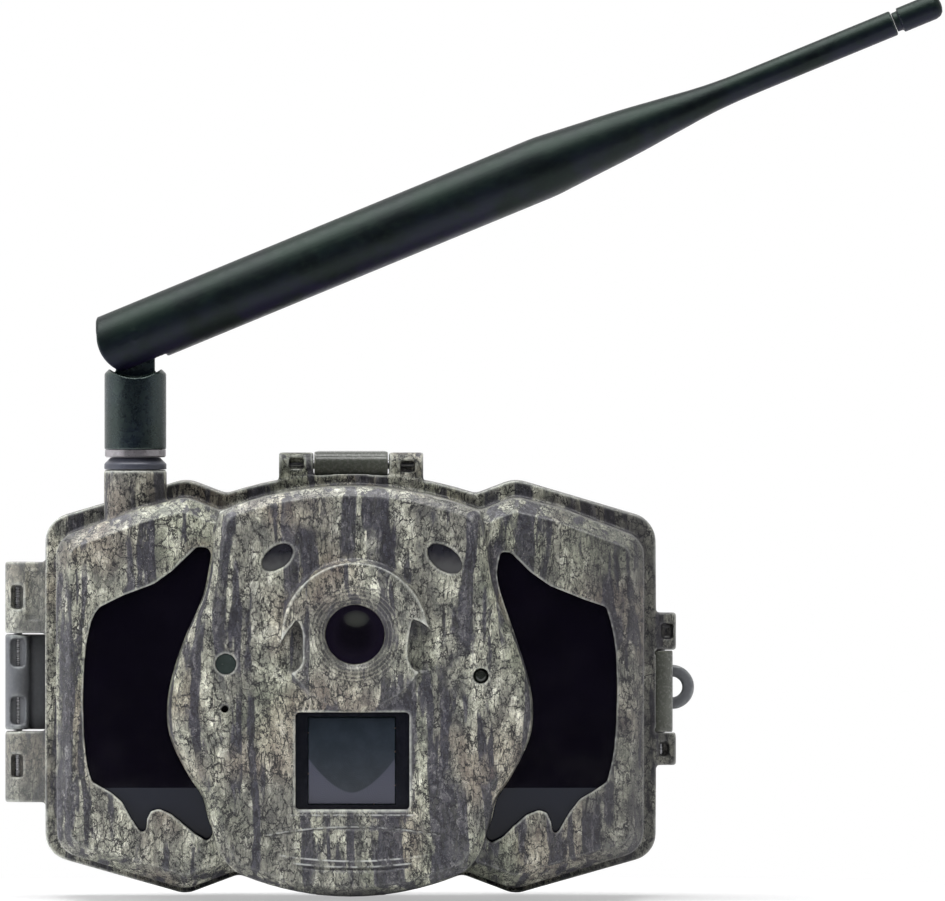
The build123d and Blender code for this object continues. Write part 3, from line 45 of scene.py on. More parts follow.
# ------------------------------------------------------------------ materials
class Net:
    """Small helper to write node networks as expressions. Coordinates in millimetres."""

    def __init__(self, name):
        self.m = D.materials.new(name)
        self.m.use_nodes = True
        self.t = self.m.node_tree
        for n in list(self.t.nodes):
            self.t.nodes.remove(n)
        self.out = self.t.nodes.new("ShaderNodeOutputMaterial")
        self.bsdf = self.t.nodes.new("ShaderNodeBsdfPrincipled")
        self.t.links.new(self.bsdf.outputs[0], self.out.inputs[0])
        tc = self.t.nodes.new("ShaderNodeTexCoord")
        self.co = self.vscale(tc.outputs["Object"], (1000, 1000, 1000))

    def node(self, kind, **props):
        n = self.t.nodes.new(kind)
        for k, v in props.items():
            setattr(n, k, v)
        return n

    def put(self, sock, v):
        if isinstance(v, bpy.types.NodeSocket):
            self.t.links.new(v, sock)
        elif v is not None:
            if hasattr(sock.default_value, "__len__") and not hasattr(v, "__len__"):
                sock.default_value = [v] * len(sock.default_value)
            elif hasattr(v, "__len__") and len(v) == 3 and len(sock.default_value) == 4:
                sock.default_value = (*v, 1)
            else:
                sock.default_value = v

    def vscale(self, v, s):
        n = self.node("ShaderNodeVectorMath", operation="MULTIPLY")
        self.put(n.inputs[0], v)
        n.inputs[1].default_value = s
        return n.outputs[0]

    def vadd(self, a, b):
        n = self.node("ShaderNodeVectorMath", operation="ADD")
        self.put(n.inputs[0], a)
        self.put(n.inputs[1], b)
        return n.outputs[0]

    def math(self, op, a, b=None, c=None, clamp=False):
        n = self.node("ShaderNodeMath", operation=op, use_clamp=clamp)
        self.put(n.inputs[0], a)
        if b is not None:
            self.put(n.inputs[1], b)
        if c is not None:
            self.put(n.inputs[2], c)
        return n.outputs[0]

    def noise(self, v, scale, detail=3.0, rough=0.5, dist=0.0, color=False, seed=0.0):
        n = self.node("ShaderNodeTexNoise", noise_dimensions="3D")
        self.put(n.inputs["Vector"], self.vadd(v, (seed * 31.7, seed * 17.3, seed * 23.9)) if seed else v)
        n.inputs["Scale"].default_value = scale
        n.inputs["Detail"].default_value = detail
        n.inputs["Roughness"].default_value = rough
        n.inputs["Distortion"].default_value = dist
        return n.outputs["Color" if color else "Fac"]

    def voronoi(self, v, scale, feature="DISTANCE_TO_EDGE", rand=1.0):
        n = self.node("ShaderNodeTexVoronoi", feature=feature)
        self.put(n.inputs["Vector"], v)
        n.inputs["Scale"].default_value = scale
        n.inputs["Randomness"].default_value = rand
        return n.outputs["Distance"] if feature != "F1C" else n.outputs["Color"]

    def smooth(self, v, a, b, lo=0.0, hi=1.0):
        n = self.node("ShaderNodeMapRange", interpolation_type="SMOOTHSTEP")
        self.put(n.inputs["Value"], v)
        n.inputs["From Min"].default_value = a
        n.inputs["From Max"].default_value = b
        n.inputs["To Min"].default_value = lo
        n.inputs["To Max"].default_value = hi
        return n.outputs[0]

    def mix(self, f, a, b, mode="MIX"):
        n = self.node("ShaderNodeMix", data_type="RGBA", blend_type=mode)
        self.put(n.inputs[0], f)
        self.put(n.inputs[6], a)
        self.put(n.inputs[7], b)
        return n.outputs[2]

    def ramp(self, v, stops):
        n = self.node("ShaderNodeValToRGB")
        cr = n.color_ramp
        while len(cr.elements) < len(stops):
            cr.elements.new(0.5)
        for e, (p, c) in zip(cr.elements, stops):
            e.position = p
            e.color = (*c, 1) if len(c) == 3 else c
        self.put(n.inputs[0], v)
        return n.outputs[0]

    def sep(self, v):
        n = self.node("ShaderNodeSeparateXYZ")
        self.put(n.inputs[0], v)
        return n.outputs

    def comb(self, x, y, z):
        n = self.node("ShaderNodeCombineXYZ")
        for i, v in enumerate((x, y, z)):
            self.put(n.inputs[i], v)
        return n.outputs[0]

    def bump(self, h, strength=0.3, dist=0.0002, normal=None):
        n = self.node("ShaderNodeBump")
        n.inputs["Strength"].default_value = strength
        n.inputs["Distance"].default_value = dist
        self.put(n.inputs["Height"], h)
        if normal is not None:
            self.put(n.inputs["Normal"], normal)
        return n.outputs[0]

    def edge(self, radius=0.0006, samples=4):
        """1 on convex edges, about 0 on flats."""
        b = self.node("ShaderNodeBevel", samples=samples)
        b.inputs["Radius"].default_value = radius
        g = self.node("ShaderNodeNewGeometry")
        d = self.node("ShaderNodeVectorMath", operation="DOT_PRODUCT")
        self.put(d.inputs[0], b.outputs[0])
        self.put(d.inputs[1], g.outputs["Normal"])
        return self.smooth(self.math("SUBTRACT", 1.0, d.outputs["Value"]), 0.02, 0.22)

    def bend(self):
        """0.5 on flats, more on convex edges, less in creases: stored per point by the mesh code below."""
        a = self.node("ShaderNodeAttribute", attribute_type="GEOMETRY", attribute_name="bend")
        return a.outputs["Fac"]

    def set(self, **kw):
        names = {"base": "Base Color", "rough": "Roughness", "metal": "Metallic", "normal": "Normal",
                 "spec": "Specular IOR Level", "ior": "IOR", "coat": "Coat Weight", "coat_rough": "Coat Roughness",
                 "sheen": "Sheen Weight", "trans": "Transmission Weight", "alpha": "Alpha", "emit": "Emission Strength",
                 "emit_color": "Emission Color", "aniso": "Anisotropic"}
        for k, v in kw.items():
            self.put(self.bsdf.inputs[names[k]], v)
        return self.m


def lin(r, g, b):
    f = lambda c: c / 12.92 if c <= 0.04045 else ((c + 0.055) / 1.055) ** 2.4
    return tuple(f(c / 255) for c in (r, g, b))


LENS = (1.1, 58.3)


def camo(name, shift=(0, 0, 0), gain=1.0, face=True, painted_shade_below=None):
    """Printed bark: long grey-violet furrows between strips of pale, finely crackled bark."""
    n = Net(name)
    p = n.vadd(n.co, shift)
    # slow sideways wander, then a ragged shake at two sizes
    wander = n.noise(n.vscale(p, (0.030, 0.030, 0.018)), 1.0, 2.0, 0.5, color=True)
    q = n.vadd(p, n.vscale(n.vadd(wander, (-0.5, -0.5, -0.5)), (9.0, 9.0, 6.0)))
    shake = n.noise(n.vscale(q, (0.42, 0.42, 0.30)), 1.0, 5.0, 0.68, color=True, seed=1)
    q2 = n.vadd(q, n.vscale(n.vadd(shake, (-0.5, -0.5, -0.5)), (5.2, 5.2, 5.2)))
    # furrows: long vertical bands, ragged edged, coming and going along their length
    rag = n.noise(n.vscale(p, (0.9, 0.9, 0.22)), 1.0, 4.0, 0.7, seed=12)
    rag = n.math("MULTIPLY", n.math("SUBTRACT", rag, 0.5), 0.22)
    f1 = n.math("ADD", n.noise(n.vscale(q, (0.235, 0.235, 0.0125)), 1.0, 1.0, 0.4, seed=2), rag)
    f2 = n.math("ADD", n.noise(n.vscale(q, (0.400, 0.400, 0.0260)), 1.0, 1.0, 0.4, seed=3), rag)
    furrow = n.math("MAXIMUM", n.smooth(f1, 0.558, 0.600), n.smooth(f2, 0.605, 0.650))
    patchy = n.noise(n.vscale(q, (0.06, 0.06, 0.055)), 1.0, 3.0, 0.6, seed=4)
    furrow = n.math("MULTIPLY", furrow, n.smooth(patchy, 0.37, 0.47, 0.15, 1.0))
    # crackle: broken plates at two sizes, with long wandering fissures
    wide = n.noise(n.vscale(p, (0.35, 0.35, 0.25)), 1.0, 3.0, 0.65, seed=23)
    c1 = n.voronoi(n.vscale(q2, (0.46, 0.46, 0.34)), 1.0)
    c2 = n.voronoi(n.vscale(n.vadd(q2, (5, 3, 9)), (1.05, 1.05, 0.78)), 1.0)
    l1 = n.smooth(n.math("DIVIDE", c1, n.smooth(wide, 0.35, 0.65, 0.035, 0.115)), 0.20, 0.95)
    l2 = n.smooth(n.math("DIVIDE", c2, n.smooth(wide, 0.30, 0.62, 0.035, 0.150)), 0.15, 0.95, 0.42, 1.0)
    r1 = n.noise(n.vscale(q, (0.34, 0.34, 0.065)), 1.0, 3.0, 0.62, seed=20)
    l3 = n.smooth(n.math("ABSOLUTE", n.math("SUBTRACT", r1, 0.5)), 0.003, 0.014, 0.12, 1.0)
    crack = n.math("MULTIPLY", n.math("MULTIPLY", l1, l2), l3)
    grain = n.noise(n.vscale(q, (2.4, 2.4, 0.5)), 1.0, 3.0, 0.7, seed=5)
    speck = n.noise(p, 2.6, 2.0, 0.7, seed=6)
    # plate colours
    tone = n.noise(n.vscale(q2, (0.34, 0.34, 0.16)), 1.0, 3.0, 0.6, seed=7)
    g = gain
    # the film is printed with a good deal of contrast round a mid grey
    c = lambda r, gg, b: tuple(min(0.92, 0.18 * (v / 0.18) ** 1.34 * g) for v in lin(r, gg, b))
    plate = n.ramp(tone, [(0.30, c(95, 96, 94)), (0.42, c(136, 137, 129)), (0.54, c(170, 170, 158)), (0.68, c(206, 206, 195))])
    strip = n.noise(n.vscale(q, (0.11, 0.11, 0.022)), 1.0, 3.0, 0.6, seed=41)
    plate = n.mix(n.smooth(strip, 0.54, 0.36, 0.0, 0.62), plate, c(90, 88, 88))
    hue = n.noise(n.vscale(p, (0.045, 0.045, 0.035)), 1.0, 2.0, 0.5, seed=8)
    hue2 = n.noise(n.vscale(p, (0.050, 0.050, 0.040)), 1.0, 2.0, 0.5, seed=18)
    plate = n.mix(n.smooth(hue, 0.50, 0.66, 0.0, 0.17), plate, c(148, 158, 126))
    plate = n.mix(n.smooth(hue2, 0.50, 0.66, 0.0, 0.20), plate, c(170, 146, 128))
    plate = n.mix(n.smooth(grain, 0.55, 0.36, 0.0, 0.52), plate, c(86, 84, 82))
    col = n.mix(crack, c(30, 29, 35), plate)
    # furrow colours with their own long fibres
    fib = n.noise(n.vscale(q2, (1.0, 1.0, 0.09)), 1.0, 3.0, 0.65, seed=9)
    dk = n.ramp(fib, [(0.34, c(28, 27, 36)), (0.46, c(52, 51, 62)), (0.57, c(74, 73, 84)), (0.68, c(122, 121, 122))])
    dk = n.mix(n.smooth(crack, 0.6, 0.0, 0.0, 0.6), dk, c(30, 29, 37))
    col = n.mix(n.math("MULTIPLY", furrow, 0.92), col, dk)
    col = n.mix(n.smooth(speck, 0.62, 0.82, 0.0, 0.5), col, c(206, 206, 192))
    col = n.mix(n.smooth(speck, 0.38, 0.24, 0.0, 0.5), col, c(38, 36, 42))
    pt = n.bend()
    if face:
        # painted highlight and shade: pale and dark rings round the lens stand for light on the lens cone's turned
        # steps
        x, y, z = n.sep(n.co)[:]
        dx, dz = n.math("SUBTRACT", x, LENS[0]), n.math("SUBTRACT", z, LENS[1])
        rr = n.math("SQRT", n.math("ADD", n.math("MULTIPLY", dx, dx), n.math("MULTIPLY", dz, dz)))
        ring = n.math("SINE", n.math("MULTIPLY", rr, 7.4))
        near = n.math("MULTIPLY", n.smooth(rr, 10.9, 10.4), n.smooth(y, -48.0, -50.0))
        col = n.mix(n.math("MULTIPLY", near, n.smooth(ring, 0.2, 0.95, 0.0, 0.42)), col, c(62, 60, 62))
        col = n.mix(n.math("MULTIPLY", near, n.smooth(ring, -0.5, -0.95, 0.0, 0.20)), col, c(176, 174, 160))
        # painted shade: the cone next to the lens is painted darker
        col = n.mix(n.math("MULTIPLY", near, n.smooth(rr, 10.4, 7.2, 0.0, 0.38)), col, c(52, 51, 56))
        # painted shade: a black disc is painted round the microphone's hole for the shade inside it
        mx, mz = n.math("ADD", x, 27.4), n.math("SUBTRACT", z, 42.1)
        md = n.math("SQRT", n.math("ADD", n.math("MULTIPLY", mx, mx), n.math("MULTIPLY", mz, mz)))
        col = n.mix(n.smooth(md, 1.0, 0.75, 0.0, 0.96), col, c(16, 16, 20))
        # painted highlight and painted shadow: pale arcs along the ledges below the sensor lens, each with a dark line
        # just under it
        ax = n.math("SUBTRACT", x, 0.6)
        a2 = n.math("MULTIPLY", n.math("MULTIPLY", ax, ax), 0.0051)
        wid = n.math("ABSOLUTE", ax)
        patch = n.smooth(n.noise(p, 0.55, 2.0, 0.6, seed=31), 0.38, 0.58, 0.08, 0.85)
        for z0, sign, half, off in ((16.1, -1, 19.6, 0.0), (7.3, 1, 13.4, 0.0), (8.6, 1, 16.5, 0.0), (18.7, 0, 14.0, 0.0)):
            zl = n.math("SUBTRACT", z, n.math("ADD", n.math("MULTIPLY", a2, float(sign)), z0))
            on = n.math("MULTIPLY", n.smooth(wid, half, half - 1.5), n.smooth(y, -49.0, -50.5))
            on = n.math("MULTIPLY", on, patch)
            col = n.mix(n.math("MULTIPLY", on, n.smooth(n.math("ABSOLUTE", zl), 0.28, 0.08, 0.0, 0.62)), col, c(196, 198, 196))
            zd = n.math("ADD", zl, 0.45)
            col = n.mix(n.math("MULTIPLY", on, n.smooth(n.math("ABSOLUTE", zd), 0.40, 0.10, 0.0, 0.5)), col, c(52, 50, 58))
    # painted shade in the creases, and thin pale edges where the film stretches over them, partly wear and partly
    # painted highlight
    col = n.mix(n.smooth(pt, 0.490, 0.448, 0.0, 0.6), col, c(44, 42, 46))
    e = n.smooth(pt, 0.510, 0.552)
    wear = n.math("MULTIPLY", e, n.smooth(n.noise(p, 0.9, 3.0, 0.6, seed=10), 0.30, 0.60, 0.34, 0.70))
    col = n.mix(wear, col, c(204, 206, 200))
    # the hinge lugs took the film thinly: paler and plainer
    lug = n.smooth(n.sep(n.co)[0], -66.8, -68.2, 0.0, 0.42)
    col = n.mix(lug, col, c(134, 135, 132))
    # painted shade: the rear shell is painted darker towards its bottom, for the shadow under the flange
    if painted_shade_below:
        zz = n.math("ADD", n.sep(n.co)[2], n.math("MULTIPLY", n.noise(p, 0.3, 3.0, 0.6, seed=30), 6.0))
        col = n.mix(n.smooth(zz, painted_shade_below + 8, painted_shade_below, 0.0, 0.9), col, c(60, 61, 68))
    # painted shade: ambient occlusion darkens slots and seams, and the film is painted darker towards the right-hand
    # edge where the light falls off
    ao = n.node("ShaderNodeAmbientOcclusion", samples=4)
    ao.inputs["Distance"].default_value = 0.0045
    col = n.mix(n.smooth(ao.outputs["AO"], 0.80, 0.38, 0.0, 0.85), col, c(34, 33, 38))
    if face:
        # painted shade: darker towards the right-hand edge
        col = n.mix(n.smooth(x, 34.0, 60.0, 0.0, 0.56), col, c(56, 54, 59))
    bw = n.node("ShaderNodeRGBToBW")
    n.put(bw.inputs[0], col)
    rough = n.smooth(bw.outputs[0], 0.02, 0.45, 0.44, 0.30)
    pores = n.noise(p, 6.0, 2.0, 0.6, seed=11)
    h = n.math("ADD", n.math("MULTIPLY", bw.outputs[0], 0.5), n.math("MULTIPLY", pores, 0.15))
    h = n.math("ADD", h, n.math("MULTIPLY", crack, 0.5))
    return n.set(base=col, rough=rough, normal=n.bump(h, 0.52, 0.00030), spec=0.5, coat=0.25, coat_rough=0.20)


def moulded(name, rgb, rough=0.5, grain=1.0, wear=0.35, var=0.12, spec=0.45, coat=0.0, wearcol=None, fine=False, occlusion_shade=0.0):
    """Fine-textured moulded plastic: colour drift, spark grain, lighter rubbed edges; painted shade in creases and
    recesses.
    """
    n = Net(name)
    base = lin(*rgb)
    big = n.noise(n.co, 0.06, 3.0, 0.6, seed=1)
    spot = n.noise(n.co, 1.3, 4.0, 0.65, seed=2)
    col = n.mix(n.smooth(big, 0.35, 0.65), tuple(c * (1 - var) for c in base), tuple(min(1, c * (1 + var)) for c in base))
    col = n.mix(n.smooth(spot, 0.40, 0.72, 0.0, 0.30), col, tuple(min(1, c * 1.5 + 0.01) for c in base))
    if fine:
        pt = n.bend()
        # painted shade: creases are painted darker
        col = n.mix(n.smooth(pt, 0.48, 0.42, 0.0, 0.6), col, tuple(v * 0.35 for v in base))
        e = n.smooth(pt, 0.515, 0.570)
    else:
        e = n.edge(0.0005)
    scuff = n.math("MULTIPLY", e, n.smooth(n.noise(n.co, 0.7, 4.0, 0.6, seed=3), 0.35, 0.6))
    col = n.mix(n.math("MULTIPLY", scuff, wear), col, wearcol or tuple(min(1, c * 2.2 + 0.05) for c in base))
    if occlusion_shade:
        # painted shade: ambient occlusion darkens recesses
        ao = n.node("ShaderNodeAmbientOcclusion", samples=4)
        ao.inputs["Distance"].default_value = 0.0045
        col = n.mix(n.smooth(ao.outputs["AO"], 0.80, 0.38, 0.0, occlusion_shade), col, tuple(v * 0.15 for v in base))
    g = n.noise(n.co, 5.5, 2.0, 0.6, seed=4)
    r = n.math("ADD", n.smooth(spot, 0.3, 0.7, rough - 0.06, rough + 0.08), n.math("MULTIPLY", scuff, -0.08))
    return n.set(base=col, rough=r, normal=n.bump(g, 0.18 * grain, 0.00012), spec=spec, coat=coat, coat_rough=0.2)


def rubber_sleeve(name, rgb, lift=1.0, rough=0.40):
    """Antenna rubber: very dark green-black, silky, faint mould mottling; painted light: violet painted on downward
    faces, green on upward faces, and a pale painted highlight on edges.
    """
    n = Net(name)
    mott = n.noise(n.co, 0.55, 5.0, 0.7, seed=1)
    tint = n.noise(n.co, 0.10, 3.0, 0.5, seed=2)
    # painted light: the colour turns violet on faces pointing down and green on faces pointing up
    geo = n.node("ShaderNodeNewGeometry")
    up = n.sep(geo.outputs["Normal"])[2]
    base = n.mix(n.smooth(up, -0.7, 0.5), lin(rgb[0] + 14, rgb[1] + 4, rgb[2] + 24), lin(rgb[0] + 2, rgb[1] + 10, rgb[2] + 2))
    col = n.mix(n.smooth(tint, 0.38, 0.62), base, lin(*rgb))
    col = n.mix(n.smooth(mott, 0.45, 0.75, 0.0, 0.5), col, lin(rgb[0] + 12, rgb[1] + 20, rgb[2] + 10))
    # painted highlight: pale convex edges
    e = n.smooth(n.bend(), 0.522, 0.580)
    col = n.mix(n.math("MULTIPLY", e, n.smooth(mott, 0.3, 0.6, 0.2, 0.6)), col, lin(130, 140, 138))
    g = n.noise(n.co, 3.5, 3.0, 0.65, seed=3)
    r = n.smooth(mott, 0.3, 0.7, rough - 0.05, rough + 0.07)
    n.bsdf.inputs["Specular Tint"].default_value = (0.80, 1.0, 0.90, 1)
    return n.set(base=col, rough=r, normal=n.bump(g, 0.22, 0.00012), spec=0.30 * lift, coat=0.0)


def metal(name, rgb, rough=0.3, brush=(0.2, 0.2, 6.0), wear=0.3):
    n = Net(name)
    base = lin(*rgb)
    b = n.noise(n.vscale(n.co, brush), 1.0, 3.0, 0.6, seed=1)
    blot = n.noise(n.co, 0.5, 3.0, 0.6, seed=2)
    col = n.mix(n.smooth(blot, 0.35, 0.68), tuple(c * 0.72 for c in base), base)
    r = n.math("ADD", n.smooth(b, 0.3, 0.7, rough - 0.08, rough + 0.12), 0.0)
    return n.set(base=col, rough=r, metal=1.0, normal=n.bump(b, 0.12, 0.0001))


def acrylic(name):
    """Infrared-pass acrylic: looks black, faintly violet, mirror smooth with a little haze."""
    n = Net(name)
    t = n.noise(n.co, 0.05, 3.0, 0.5, seed=1)
    col = n.mix(n.smooth(t, 0.35, 0.65), lin(8, 6, 14), lin(13, 10, 20))
    dust = n.noise(n.co, 1.8, 4.0, 0.7, seed=2)
    col = n.mix(n.smooth(dust, 0.62, 0.82, 0.0, 0.35), col, lin(36, 34, 44))
    x, y, z = n.sep(n.co)[:]
    # painted reflection: the lower facet, below z 24.6, is painted paler as the floor's reflection
    col = n.mix(n.smooth(z, 24.9, 24.2, 0.0, 0.9), col, lin(26, 30, 41))
    r = n.smooth(n.noise(n.co, 0.2, 3.0, 0.5, seed=3), 0.3, 0.7, 0.07, 0.13)
    wav = n.noise(n.co, 0.05, 1.0, 0.4, seed=4)
    return n.set(base=col, rough=r, spec=n.smooth(z, 24.9, 24.2, 0.5, 0.17), normal=n.bump(wav, 0.03, 0.0004))


def fresnel(name):
    """Grey sensor lens: satin sheet with fine moulded rings in a grid of facets."""
    n = Net(name)
    x, y, z = n.sep(n.co)[:]
    base = n.mix(n.smooth(n.noise(n.co, 0.25, 3.0, 0.6, seed=1), 0.35, 0.65), lin(29, 37, 45), lin(37, 44, 53))
    # painted reflection: the lower corners, outside a deep U, are painted paler as the ground light they reflect
    u = n.math("MULTIPLY", n.math("POWER", n.math("ABSOLUTE", n.math("SUBTRACT", x, 0.4)), 1.70), 0.163)
    edge = n.math("SUBTRACT", z, n.math("ADD", u, 23.6))
    base = n.mix(n.smooth(edge, 0.25, -0.25), base, lin(64, 66, 79))
    cx = n.math("SUBTRACT", n.math("FLOORED_MODULO", n.math("ADD", x, 9.0), 6.3), 3.15)
    cz = n.math("SUBTRACT", n.math("FLOORED_MODULO", n.math("SUBTRACT", z, 21.2), 6.3), 3.15)
    rad = n.math("SQRT", n.math("ADD", n.math("MULTIPLY", cx, cx), n.math("MULTIPLY", cz, cz)))
    ring = n.math("SINE", n.math("MULTIPLY", rad, 14.0))
    return n.set(base=base, rough=0.38, spec=0.35, normal=n.bump(ring, 0.10, 0.00008))


def glassy(name, rgb, rough=0.05, coat=0.6, spec=0.6, shade=0.0):
    """Resin or glass seen as a dark glossy face, with painted shading, a little paler towards its lower edge, when
    shade is set.
    """
    n = Net(name)
    base = lin(*rgb)
    t = n.noise(n.co, 0.4, 2.0, 0.5, seed=1)
    col = n.mix(n.smooth(t, 0.35, 0.7), base, tuple(v * 1.25 + 0.002 for v in base))
    if shade:
        x, y, z = n.sep(n.co)[:]
        g = n.math("ADD", z, n.math("MULTIPLY", n.noise(n.co, 0.6, 2.0, 0.5, seed=3), 2.0))
        col = n.mix(n.smooth(g, 77.8, 73.8, 0.0, shade), col, lin(122, 122, 120))
    r = n.smooth(n.noise(n.co, 1.1, 4.0, 0.6, seed=2), 0.35, 0.75, rough, rough + 0.06)
    return n.set(base=col, rough=r, spec=spec, coat=coat, coat_rough=0.03)


def lens_glass(name):
    """Coated front glass: near black, with a painted highlight as a soft grey-green glint above and a painted violet
    reflection at the rim.
    """
    n = Net(name)
    x, y, z = n.sep(n.co)[:]
    dx, dz = n.math("SUBTRACT", x, LENS[0] + 0.3), n.math("SUBTRACT", z, LENS[1] + 3.4)
    d = n.math("ADD", n.math("MULTIPLY", n.math("MULTIPLY", dx, dx), 0.10), n.math("MULTIPLY", n.math("MULTIPLY", dz, dz), 0.22))
    cx, cz = n.math("SUBTRACT", x, LENS[0]), n.math("SUBTRACT", z, LENS[1])
    rr = n.math("SQRT", n.math("ADD", n.math("MULTIPLY", cx, cx), n.math("MULTIPLY", cz, cz)))
    # painted reflection: violet towards the rim
    col = n.mix(n.smooth(rr, 2.0, 6.2), lin(12, 10, 16), lin(22, 18, 30))
    col = n.mix(n.smooth(n.math("ABSOLUTE", n.math("SUBTRACT", rr, 4.6)), 0.35, 0.0, 0.0, 0.5), col, lin(30, 28, 34))
    # painted highlight: a soft grey-green glint above the centre
    col = n.mix(n.smooth(d, 1.1, 0.0, 0.0, 0.75), col, lin(66, 68, 64))
    r = n.smooth(n.noise(n.co, 1.2, 3.0, 0.5), 0.3, 0.7, 0.03, 0.07)
    return n.set(base=col, rough=r, spec=0.4, coat=0.4, coat_rough=0.02)


def board(name):
    n = Net(name)
    x, y, z = n.sep(n.co)[:]
    tr = n.voronoi(n.vscale(n.co, (0.5, 0.0, 0.5)), 1.0, "DISTANCE_TO_EDGE", 0.15)
    line = n.smooth(tr, 0.02, 0.06)
    pads = n.smooth(n.voronoi(n.vscale(n.co, (0.8, 0.0, 0.8)), 1.0, "F1"), 0.16, 0.20)
    col = n.mix(line, lin(40, 104, 62), lin(22, 72, 40))
    col = n.mix(pads, lin(190, 170, 110), col)
    return n.set(base=col, rough=0.35, spec=0.5, normal=n.bump(line, 0.2, 0.0001))


def cells(name):
    """Plain wrapped cells: dark wrap, a gold band near the button end."""
    n = Net(name)
    x, y, z = n.sep(n.co)[:]
    band = n.math("MULTIPLY", n.smooth(z, 61.8, 62.0), n.smooth(z, 74.9, 74.7))
    cap = n.smooth(z, 74.7, 74.9)
    sc = n.noise(n.vscale(n.co, (2, 2, 0.3)), 1.0, 3.0, 0.6, seed=1)
    col = n.mix(n.smooth(sc, 0.4, 0.7, 0, 0.4), lin(34, 38, 44), lin(58, 62, 70))
    col = n.mix(band, col, lin(176, 126, 52))
    col = n.mix(cap, col, lin(190, 190, 188))
    return n.set(base=col, rough=n.smooth(sc, 0.3, 0.7, 0.22, 0.36), metal=n.math("MULTIPLY", cap, 1.0), coat=0.3)


def screen(name):
    n = Net(name)
    t = n.noise(n.co, 0.08, 2.0, 0.5, seed=1)
    col = n.mix(n.smooth(t, 0.3, 0.7), lin(20, 24, 30), lin(34, 40, 48))
    return n.set(base=col, rough=0.12, spec=0.6, coat=0.5, coat_rough=0.04)


M = {
    "camo_front": camo("camo_front", gain=0.98),
    "camo_rear": camo("camo_rear", shift=(140, 60, 30), gain=0.93, face=False, painted_shade_below=21),
    "dark": moulded("dark_housing", (62, 63, 68), 0.46, 1.0, 0.6),
    "knuckle": moulded("dark_frame", (98, 100, 104), 0.34, 1.0, 0.7, wearcol=lin(176, 182, 178), fine=True, coat=0.1, occlusion_shade=0.85),
    "olive": moulded("latch_olive", (84, 86, 79), 0.24, 0.8, 0.8, coat=0.35, wearcol=lin(176, 176, 160), fine=True),
    "panel": moulded("panel_dark", (48, 49, 52), 0.55, 1.3, 0.4),
    "sleeve": rubber_sleeve("antenna_sleeve_rubber", (10, 16, 22), 2.6, 0.27),
    "whip": rubber_sleeve("antenna_whip_rubber", (8, 12, 16), 0.72, 0.38),
    "ringblack": moulded("antenna_ring_black", (64, 66, 76), 0.34, 0.6, 0.6, fine=True),
    "nut": metal("antenna_nut_metal", (186, 182, 186), 0.34, (2.0, 2.0, 9.0)),
    "steel": metal("plated_steel", (190, 190, 192), 0.28),
    "brass": metal("turned_brass", (196, 160, 92), 0.25),
    "acrylic": acrylic("ir_acrylic"),
    "fresnel": fresnel("fresnel_lens"),
    "bezel": glassy("pir_bezel_black", (11, 13, 21), 0.16, 0.2, 0.3),
    "lens": lens_glass("front_lens_glass"),
    "smoke": glassy("smoked_window", (34, 34, 40), 0.10, 0.5, 0.5, shade=0.32),
    "sensorwin": glassy("light_sensor_window_resin", (40, 48, 46), 0.22, 0.3, 0.4),
    "statuslens": glassy("status_light_resin", (30, 34, 30), 0.2, 0.4, 0.5),
    "ledresin": glassy("ir_led_resin", (60, 56, 70), 0.08, 0.6, 0.5),
    "filter": glassy("filter_glass", (40, 70, 90), 0.05, 0.6, 0.5),
    "pcb": board("circuit_board"),
    "chip": moulded("component_black", (26, 26, 28), 0.5, 0.6, 0.2),
    "rubberkey": moulded("rubber_keys", (40, 41, 44), 0.62, 1.2, 0.3),
    "seal": moulded("seal_rubber", (96, 98, 98), 0.68, 1.2, 0.1),
    "switch": moulded("switch_plastic", (200, 200, 196), 0.42, 0.6, 0.2),
    "cells": cells("cell_wrap"),
    "screen": screen("display_glass"),
}
ASSIGN = {
    "front_shell": "camo_front", "rear_shell": "camo_rear", "battery_frame": "knuckle", "front_panel": "panel",
    "lens_holder": "chip", "lens_barrel": "chip", "pir_bezel": "bezel", "mode_switch_body": "steel", "microphone": "chip",
    "speaker": "chip", "top_latch": "olive", "side_latch": "olive", "hinge_pin": "steel", "latch_pins": "steel",
    "elbow_pin": "steel", "panel_screws": "steel", "frame_screws": "steel", "battery_contacts": "steel",
    "pir_sensor": "steel", "card_slots": "steel", "usb_port": "steel", "power_socket": "steel",
    "ir_window_left": "acrylic", "ir_window_right": "acrylic", "display": "screen", "lens_window": "lens",
    "lens_elements": "lens", "oval_windows": "smoke", "light_sensor_window": "sensorwin", "ir_cut_filters": "filter",
    "ir_leds": "ledresin", "status_led": "statuslens", "pir_lens": "fresnel", "led_boards": "pcb", "sensor_board": "pcb",
    "main_board": "pcb", "image_sensor": "chip", "board_modules": "steel", "tact_switches": "chip", "sd_card": "chip",
    "sim_card": "switch", "ir_cut_slider": "chip", "antenna_elbow": "whip", "antenna_whip": "whip", "antenna_tip": "whip",
    "antenna_sleeve": "sleeve", "antenna_base_ring": "ringblack", "antenna_nut": "nut", "antenna_socket": "brass",
    "tripod_insert": "brass", "seal_ring": "seal", "power_plug": "rubberkey", "button_up": "rubberkey",
    "button_down": "rubberkey", "button_left": "rubberkey", "button_right": "rubberkey", "button_ok": "rubberkey",
    "mode_switch": "switch", "batteries": "cells",
}
for nm, o in NODES.items():
    o.data.materials.clear()
    o.data.materials.append(M[ASSIGN[nm]])


